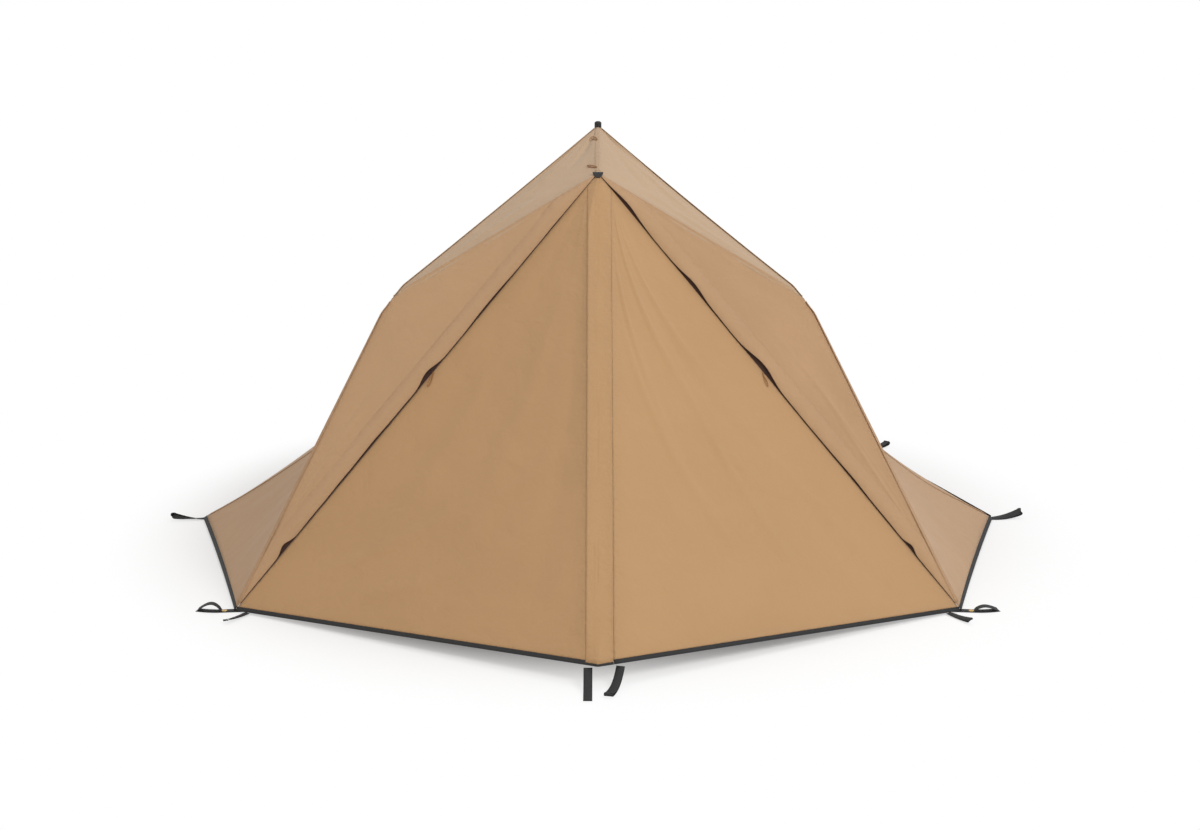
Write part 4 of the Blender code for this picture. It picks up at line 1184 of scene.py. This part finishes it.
class TENT_OT_hems(bpy.types.Operator):
    """Makes the black binding along every hem"""

    bl_idname = "tent.hems"
    bl_label = "Make Hems"

    def execute(self, context):
        width = context.scene.tent_trim.hem_width
        for name in SIDES:
            self.band("side_hem_" + name, *hem_rows(surfaces(name)["wing"], 40, width), "tent")
            self.door(name, width)
        self.rear(width)
        return {"FINISHED"}

    def door(self, name, width):
        """A door's hem, which on the left runs on over the middle strip."""
        cross = door_cross(name, DOORS[name], HEM_OVERLAPS[name])
        share = width / DOOR_HEM_DROP
        centres = [cross(1 - share / 2, step / 40) for step in range(41)]
        asides = [cross(1, step / 40) - cross(1 - share, step / 40) for step in range(41)]
        if name == "left":
            spots = (1.0, 0.8, 0.6, 0.4, 0.2, 0.06, 0.0, -0.06, -0.25, -0.5, -0.75)
            centres = [on_strip(1 - share / 2, spot) for spot in spots] + centres
            asides = [on_strip(1, spot) - on_strip(1 - share, spot) for spot in spots] + asides
        self.band("door_hem_" + name, centres, asides, "door_" + name)

    def rear(self, width):
        """One band round the back, from the right flank to the left."""
        centres, asides = [], []
        for name, piece in (("right", "rear_side"), ("right", "rear"), ("left", "rear"),
                            ("left", "rear_side")):
            middles, downs = hem_rows(surfaces(name)[piece], 30, width)
            if not centres:
                downs = [down.normalized().lerp(-UP, 0.8 * min(1, max(0, step / 30 - 0.25) * 3))
                         for step, down in enumerate(downs)]
            if name == "right":
                middles, downs = middles[::-1], downs[::-1]
            first = 1 if centres else 0
            centres += middles[first:]
            asides += downs[first:]
        self.band("rear_hem", centres, asides, "tent")

    def band(self, name, centres, asides, body):
        """One hem's binding, kept for its stitches."""
        trim = bpy.context.scene.tent_trim
        obj = ribbon(name, centres, asides, trim.hem_width, trim.hem_thickness, TAPE, body, "black_tape")
        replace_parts(obj, name)
        HEM_BANDS.append((centres, asides, body))


def doubled_loop(name, start, heading, length, body, rise=0.0, curl=0.0, opening=0.004, bow=0.0, width=None,
                 ground=0.0008, roll=0.0):
    """Webbing laid out from start, turned back at its end and laid on itself."""
    trim = bpy.context.scene.tent_trim
    width = width or trim.webbing_width
    heading = Vector((*heading, 0)).normalized()
    side = Vector((-heading.y, heading.x, 0))
    layer = WEBBING_LAYER

    def spot(share, above):
        height = ground + rise * (1 - share) ** 2.2 + curl * share * share + above
        return start + heading * length * share + side * bow * share * share + UP * height

    path = []
    for step in range(15):
        path.append(spot(step / 15, 0))
    gap = layer + opening
    for step in range(9):
        angle = -pi / 2 + pi * step / 8
        path.append(spot(1, gap / 2 + gap / 2 * sin(angle)) + heading * (cos(angle) * gap / 2 - gap / 2))
    for step in range(15):
        share = 1 - (step + 1) / 16
        path.append(spot(share, layer + opening * share**1.6))
    asides = []
    for index in range(len(path)):
        share = min(1, (path[index] - path[0]).length / length)
        turn = roll * share
        asides.append(side * cos(turn) + UP * sin(turn))
    obj = ribbon(name, path, asides, width, layer * 0.9, TAPE, body, "black_tape")
    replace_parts(obj, name)


class TENT_OT_loops(bpy.types.Operator):
    """Makes the webbing peg loops at the corners"""

    bl_idname = "tent.loops"
    bl_label = "Make Loops"

    def execute(self, context):
        reach = 0.132
        for name, side in SIDES.items():
            at = CORNERS[name]
            flank, rear, front, door = at["flank"], at["rear"], at["front"], at["door"]
            curl = 0.015 if name == "left" else 0.022
            doubled_loop("side_peg_loop_" + name, Vector((flank.x - side * 0.012, flank.y, 0)),
                         (side, 0.05 * side), reach - 0.008, "tent", rise=0.002, curl=curl, opening=0.006,
                         bow=0.010, roll=1.0 if name == "left" else 0.6)
            out = Vector((rear.x, rear.y)).normalized()
            aim = (out.x, out.y) if name == "right" else (out.x * 0.10, out.y)
            doubled_loop("rear_side_peg_loop_" + name, Vector((rear.x, rear.y, 0)) - out.to_3d() * 0.012,
                         aim, reach, "tent", rise=0.002, curl=0.008 if name == "right" else 0.001,
                         opening=0.014 if name == "right" else 0.001, bow=0.006)
            self.corner(name, side, front)
            near = front.lerp(door, 0.040)
            doubled_loop("door_corner_loop_" + name, Vector((near.x, near.y - 0.003, 0)),
                         (side * 0.60, -0.80), 0.100, "door_" + name, rise=0.004, curl=0.010, opening=0.003,
                         bow=-0.010 * side, width=0.021, ground=0.0020, roll=0.4)
        centre_y = CORNERS["left"]["door"].y
        doubled_loop("front_peg_loop_left", Vector((-0.029, centre_y + 0.012, 0)), (0.0, -1.0), 0.128,
                     "door_left", rise=0.051, curl=0.003, opening=0.003, ground=0.0020, width=0.026)
        doubled_loop("front_peg_loop_right", Vector((0.066, centre_y + 0.030, 0)), (-0.22, -1.0), 0.126,
                     "door_right", rise=0.049, curl=0.006, opening=0.008, ground=0.0020, bow=-0.010,
                     width=0.026)
        back = CORNERS["left"]["back"]
        doubled_loop("rear_peg_loop", Vector((0, back.y - 0.012, 0)), (0, 1), reach, "tent", rise=0.002,
                     curl=0.008, opening=0.004)
        return {"FINISHED"}

    def corner(self, name, side, front):
        """A front corner's webbing: it opens to a loop outside its eyelet."""
        low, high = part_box("corner_strap_" + name)
        eyelet = sum(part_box("corner_eyelet_" + name), Vector()) / 2
        heading = Vector((side, -0.10, 0)).normalized()
        aside = Vector((-heading.y, heading.x, 0))
        start = Vector((low.x if side > 0 else high.x, front.y + 0.012, 0.0012))
        past = (eyelet - start).dot(heading) + 0.010
        open_height = 0.025 if name == "left" else 0.016
        total = abs(high.x - low.x) * 0.99
        under, over = [], []
        for step in range(41):
            run = total * step / 40
            flare = max(0, (run - past) / (total - past))
            lift = open_height * sin(pi * min(1, flare) ** 0.75) if flare > 0 else 0
            point = start + heading * run + Vector((0, 0.018 * flare * flare, 0))
            under.append(point)
            over.append(point + UP * (0.0001 + lift))
        strap = ribbon("corner_strap_" + name, under, [aside] * 41, STRAP_WIDTH, 0.0016, TAPE, "tent",
                       "black_tape")
        pierce(strap, eyelet, EYELET_HOLE)
        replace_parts(strap, "corner_strap_" + name)
        tail = [p for p in over if (p - start).dot(heading) >= past]
        loop = ribbon("corner_loop_" + name, [p + UP * 0.0013 for p in tail], [aside] * len(tail),
                      STRAP_WIDTH - 0.0010, WEBBING_LAYER, TAPE, "tent", "black_tape")


def pierce(obj, centre, radius):
    """Cuts a round hole down through a piece."""
    bm = bmesh.new()
    bmesh.ops.create_cone(bm, cap_ends=True, segments=32, radius1=radius, radius2=radius, depth=0.05,
                          matrix=Matrix.Translation(centre))
    cutter = linked("hole", mesh_from("hole", bm))
    cut = obj.modifiers.new("Hole", "BOOLEAN")
    cut.object = cutter
    cut.solver = "EXACT"
    bpy.context.view_layer.update()
    made = bpy.data.meshes.new_from_object(obj.evaluated_get(bpy.context.evaluated_depsgraph_get()))
    obj.modifiers.remove(cut)
    obj.data = made
    bpy.data.objects.remove(cutter)


def edge_normal(surface, edge):
    """The outward direction of a patch beside one of its edges, by the share along the edge."""

    def at(t):
        t = max(0.02, min(0.98, t))
        return normal_of(surface, *{"left": (0.0, t), "right": (1.0, t), "top": (t, 0.0)}[edge])

    return at


class TENT_OT_seams(bpy.types.Operator):
    """Makes the felled seams over the panel edges and the stitching"""

    bl_idname = "tent.seams"
    bl_label = "Make Seams"

    def execute(self, context):
        bands = [self.ridge(name) for name in SIDES]
        rears = [edge_normal(surfaces(name)["rear"], "left") for name in SIDES]
        bands.append(self.felled("back_seam", seams("left")["back"], 60, *rears, CANVAS, 0.02, 0.985))
        for name in SIDES:
            faces, curves, line = surfaces(name), seams(name), ZipLine(name)
            roof, wing, rear_side, rear = (faces[key] for key in ("roof", "wing", "rear_side", "rear"))
            for label, first, second, look, start, end in (
                ("roof_edge", (roof, "right"), edge_normal(wing, "top"), CANVAS_ROOF_PAINTED_SHEEN, 0.02, 0.99),
                ("arris", (wing, "right"), lambda t: line.out, CANVAS, 0.01, 0.975),
                ("flank", (wing, "left"), edge_normal(rear_side, "right"), CANVAS, 0.02, 0.985),
                ("rear", (rear_side, "left"), edge_normal(rear, "right"), CANVAS, 0.02, 0.985),
            ):
                bands.append(self.felled(label + "_seam_" + name, curves[label], 90, edge_normal(*first),
                                         second, look, start, end))
            for u, offsets in ((0.95, (0.0, -0.006)), (0.10, (0.0,))):
                row = [flap_spot(line, u, 0.02 + 0.96 * step / 90) for step in range(91)]
                bands.append((row, [line.across] * 91, offsets, STITCH_LIFT))
            self.crease(name, roof, curves["crease"], line.out)
        stitch_rows("seam_stitches", bands, THREAD, "tent")
        self.hem_stitches()
        self.sheets()
        return {"FINISHED"}

    def ridge(self, name):
        """The doubled cloth beside the ridge, and its row of stitches."""
        width = bpy.context.scene.tent_trim.ridge_width
        up = edge_normal(surfaces(name)["roof"], "left")
        centres, asides = along_seam(seams("left")["ridge"], 40, RIDGE_SEAM_LAYER, up, up, 0.04, 0.95)
        outward = [aside if aside.x * SIDES[name] > 0 else -aside for aside in asides]
        centres = [centre + aside * width * 0.34 for centre, aside in zip(centres, outward)]
        ribbon("ridge_seam_" + name, centres, asides, width * 0.56, RIDGE_SEAM_LAYER, CANVAS_ROOF_PAINTED_SHEEN, "tent",
               "canvas_roof")
        return centres, asides, (0.0,), 0.0006

    def felled(self, name, curve, steps, first, second, look, start, end):
        """A felled seam over the edges of two panels, and its two rows of stitches."""
        width = bpy.context.scene.tent_trim.seam_width
        centres, asides = along_seam(curve, steps, SEAM_LIFT, first, second, start, end)
        slot = "canvas_roof" if look == CANVAS_ROOF_PAINTED_SHEEN else "canvas"
        ribbon(name, centres, asides, width, SEAM_THICKNESS, look, "tent", slot)
        return centres, asides, (-width / 2 * 0.6, width / 2 * 0.6), STITCH_LIFT

    def hem_stitches(self):
        """The stitches of the hems, and with the left door's hem those along the middle strip."""
        rows = {"door_left": [], "door_right": [], "tent": []}
        for share in (-0.90, -0.24, 0.02, 0.90):
            row = [on_strip(0.03 + 0.955 * step / 90, share, 0.0019) for step in range(91)]
            rows["door_left"].append((row, [Vector((1, 0, 0))] * 91, (0.0,), 0.0))
        for centres, asides, body in HEM_BANDS:
            rows[body].append((centres, asides, (HEM_STITCH_ASIDE,), HEM_STITCH_LIFT))
        for name in SIDES:
            stitch_rows("door_stitches_" + name, rows["door_" + name], THREAD, "door_" + name)
        stitch_rows("hem_stitches", rows["tent"], DARK_THREAD, "tent", "black_tape")

    def sheets(self):
        """Does nothing."""

    def crease(self, name, roof, curve, out):
        """The cloth's soft bend over the arch's rafter, between the roof and the front panel."""

        def place(u, v):
            t = 0.03 + 0.945 * v
            corner = blunted(curve(t))
            above = normal_of(roof, t, 0.98)
            tangent = (curve(min(1, t + 0.01)) - curve(t - 0.01)).normalized()
            up_roof = above.cross(tangent).normalized()
            up_roof = up_roof if up_roof.z > 0 else -up_roof
            down_front = out.cross(tangent).normalized()
            down_front = down_front if down_front.z < 0 else -down_front
            size = CREASE_REACH * min(1, 6 * v + 0.2, 6 * (1 - v) + 0.2)
            start = corner + up_roof * size + above * 0.0006
            end = corner + down_front * size + out * 0.0006
            middle = corner + (above + out).normalized() * 0.0016
            return start.lerp(middle, u).lerp(middle.lerp(end, u), u)

        cloth("crease_" + name, place, 10, 60, 0.0007, CANVAS_ROOF_PAINTED_SHEEN, "tent", "canvas_roof")


class TENT_OT_fittings(bpy.types.Operator):
    """Finishes the frame's rigid pieces and makes the ridge's cord loops"""

    bl_idname = "tent.fittings"
    bl_label = "Make Fittings"

    def execute(self, context):
        slots = {part["node"]: part["material_slot"] for part in frame["record"]["subparts"]}
        for node, obj in frame["nodes"].items():
            if obj.hide_render:
                continue
            obj.data.materials.clear()
            obj.data.materials.append(bpy.data.materials[FRAME_LOOKS.get(slots[node], CANVAS)])
            weld = obj.modifiers.new("Weld", "WELD")
            weld.merge_threshold = 0.00002
            bevel = obj.modifiers.new("Bevel", "BEVEL")
            bevel.width = 0.0003
            bevel.segments = 2
            bevel.limit_method = "ANGLE"
            bevel.angle_limit = radians(40)
            bevel.harden_normals = True
            for polygon in obj.data.polygons:
                polygon.use_smooth = True
        self.cord_loop("ridge_cord_upper", 0.046, 1.5, 0.0060)
        self.cord_loop("ridge_cord_lower", 0.056, 1.1, 0.0036)
        return {"FINISHED"}

    def cord_loop(self, node, reach, climb, spread):
        """A loop of thin cord sewn in at the ridge and lying on the left of the roof."""
        low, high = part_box(node)
        line = seams("left")["ridge"]
        roof = surfaces("left")["roof"]
        height = (low.z + high.z) / 2
        place = (line(0).z - height) / (line(0).z - line(1).z)
        root = line(max(0.05, min(0.95, place)))
        normal = normal_of(roof, 0.1, 0.5)
        tangent = (line(1) - line(0)).normalized()
        aside = normal.cross(tangent).normalized()
        aside = aside if aside.x < 0 else -aside
        heading = (aside - tangent * climb).normalized()
        width = heading.cross(normal).normalized()
        points = []
        for step in range(13):
            angle = 2 * pi * (step + 0.35) / 12.7
            along = reach * (0.5 - 0.5 * cos(angle)) + 0.003
            swing = spread * sin(angle) * (0.55 + 0.6 * along / reach)
            swing += 0.3 * spread * sin(2.5 * along / reach)
            points.append(root + heading * along + width * swing + normal * (0.0034 + 0.0008 * sin(angle)))
        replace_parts(cord(node + "_loop", points, RIDGE_CORD_RADIUS, "tent"), node)


class TENT_OT_materials(bpy.types.Operator):
    """Makes the procedural materials"""

    bl_idname = "tent.materials"
    bl_label = "Make Materials"

    def execute(self, context):
        canvas_material(CANVAS, colour_of(184, 148, 112))
        # The doors' copy is more saturated than the canvas: painted warm bounce light.
        canvas_material(CANVAS_FRONT_PAINTED_BOUNCE, colour_of(183, 144, 101))
        # The roof's copy is paler and greyer than the canvas: painted sheen and sky reflection.
        canvas_material(CANVAS_ROOF_PAINTED_SHEEN, colour_of(184, 156, 126))
        woven_material(TAPE, (0.008, 0.008, 0.0085, 1), 0.75, 420.0, 0.0004)
        woven_material(CORD, colour_of(152, 102, 54), 0.7, 900.0, 0.0004)
        principled(THREAD, colour_of(194, 154, 112), 0.8)
        principled(DARK_THREAD, (0.03, 0.03, 0.03, 1), 0.8)
        # Tape and coil are real parts coloured as painted shade of the slit beside the flap.
        woven_material(ZIP_TAPE_PAINTED_SHADE, colour_of(58, 32, 20), 0.8, 420.0, 0.0003)
        principled(ZIP_TEETH_PAINTED_SHADE, colour_of(52, 32, 22), 0.45)
        metal_material(POLE_METAL, (0.56, 0.57, 0.59, 1), 0.32)
        metal_material(ZIP_METAL, (0.05, 0.05, 0.055, 1), 0.38)
        metal_material(BRASS, colour_of(205, 172, 104), 0.28)
        principled(RUBBER, (0.025, 0.025, 0.027, 1), 0.6)
        return {"FINISHED"}


class TENT_OT_stage(bpy.types.Operator):
    """Makes the floor, the lights and the camera"""

    bl_idname = "tent.stage"
    bl_label = "Make Stage"

    def execute(self, context):
        studio = context.scene.tent_studio
        bm = bmesh.new()
        bmesh.ops.create_grid(bm, x_segments=1, y_segments=1, size=40)
        bmesh.ops.translate(bm, verts=bm.verts, vec=(0, 0, -0.0005))
        floor = linked("floor", mesh_from("floor", bm))
        floor.data.materials.append(self.floor_material())
        self.world(context)
        for lamp in LAMPS:
            self.lamp(*lamp)
        camera = linked("camera", bpy.data.cameras.new("camera"))
        camera.data.lens = studio.lens
        camera.data.sensor_width = 36.0
        camera.data.shift_x = studio.shift
        camera.location = (0, -studio.distance, studio.height)
        camera.rotation_euler = (pi / 2 - studio.pitch, 0, 0)
        camera.data.clip_end = 200
        context.scene.camera = camera
        context.scene.view_settings.view_transform = "Standard"
        return {"FINISHED"}

    def floor_material(self):
        """A pale floor that fades to plain white away from the tent."""
        graph, shader = principled("Pale floor", (0.90, 0.90, 0.90, 1), 0.9)
        shader.inputs["Specular IOR Level"].default_value = 0.1
        place = graph.add("ShaderNodeTexCoord")["Object"]
        length = graph.add("ShaderNodeVectorMath", {0: place}, operation="LENGTH")["Value"]
        fade = graph.add("ShaderNodeMapRange", {"Value": length, "From Min": 1.15, "From Max": 1.85},
                         interpolation_type="SMOOTHSTEP")["Result"]
        white = graph.add("ShaderNodeEmission")["Emission"]
        seen = graph.maths("MULTIPLY", fade, graph.seen_rays())
        mix = graph.add("ShaderNodeMixShader", {"Fac": seen, 1: shader.outputs["BSDF"], 2: white})
        graph.feed(graph.nodes["Material Output"].inputs["Surface"], mix["Shader"])
        return bpy.data.materials["Pale floor"]

    def world(self, context):
        """Soft white light all round, and plain white to the camera."""
        world = bpy.data.worlds.new("Studio")
        context.scene.world = world
        world.use_nodes = True
        world.node_tree.nodes.clear()
        graph = Graph(world.node_tree)
        light = graph.add("ShaderNodeBackground", {"Color": (1, 1, 1, 1), "Strength": 0.46})["Background"]
        plain = graph.add("ShaderNodeBackground", {"Color": (1, 1, 1, 1), "Strength": 1.0})["Background"]
        mix = graph.add("ShaderNodeMixShader", {"Fac": graph.seen_rays(), 1: light, 2: plain})["Shader"]
        graph.add("ShaderNodeOutputWorld", {"Surface": mix})

    def lamp(self, name, place, size, power, colour):
        """A square lamp that is turned towards the tent's front."""
        lamp = bpy.data.lights.new(name, "AREA")
        lamp.size, lamp.energy, lamp.color = size, power, colour
        obj = linked(name, lamp)
        obj.location = place
        obj.rotation_euler = (LAMP_AIM - Vector(place)).to_track_quat("-Z", "Y").to_euler()


class TENT_PT_panel(bpy.types.Panel):
    """The tent's sizes and its steps"""

    bl_idname = "TENT_PT_panel"
    bl_label = "Tent"
    bl_space_type = "VIEW_3D"
    bl_region_type = "UI"
    bl_category = "Tent"

    def draw(self, context):
        for settings in (context.scene.tent_canvas, context.scene.tent_trim, context.scene.tent_studio):
            box = self.layout.box()
            for name in settings.bl_rna.properties.keys():
                if name not in {"rna_type", "name"}:
                    box.prop(settings, name)
        for step in STEPS:
            self.layout.operator(step)


STEPS = ("tent.materials", "tent.canvas", "tent.doors", "tent.zips", "tent.hems", "tent.loops", "tent.seams",
         "tent.fittings", "tent.stage")
CLASSES = (CanvasSettings, TrimSettings, StudioSettings, TENT_OT_materials, TENT_OT_canvas, TENT_OT_doors,
           TENT_OT_zips, TENT_OT_hems, TENT_OT_loops, TENT_OT_seams, TENT_OT_fittings, TENT_OT_stage,
           TENT_PT_panel)


def register():
    for made in CLASSES:
        bpy.utils.register_class(made)
    bpy.types.Scene.tent_canvas = bpy.props.PointerProperty(type=CanvasSettings)
    bpy.types.Scene.tent_trim = bpy.props.PointerProperty(type=TrimSettings)
    bpy.types.Scene.tent_studio = bpy.props.PointerProperty(type=StudioSettings)


def unregister():
    for name in ("tent_canvas", "tent_trim", "tent_studio"):
        delattr(bpy.types.Scene, name)
    for made in reversed(CLASSES):
        bpy.utils.unregister_class(made)


def main():
    for obj in list(bpy.data.objects):
        if obj.name in {"Cube", "Light", "Camera"}:
            bpy.data.objects.remove(obj)
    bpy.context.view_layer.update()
    register()
    CORNERS.update({name: corners(name) for name in SIDES})
    DOORS.update({name: surfaces(name)["door"] for name in SIDES})
    bpy.ops.tent.materials()
    bpy.ops.tent.canvas()
    bpy.ops.tent.doors()
    bpy.ops.tent.zips()
    bpy.ops.tent.hems()
    bpy.ops.tent.loops()
    bpy.ops.tent.seams()
    bpy.ops.tent.fittings()
    bpy.ops.tent.stage()


if __name__ == "__main__":
    main()
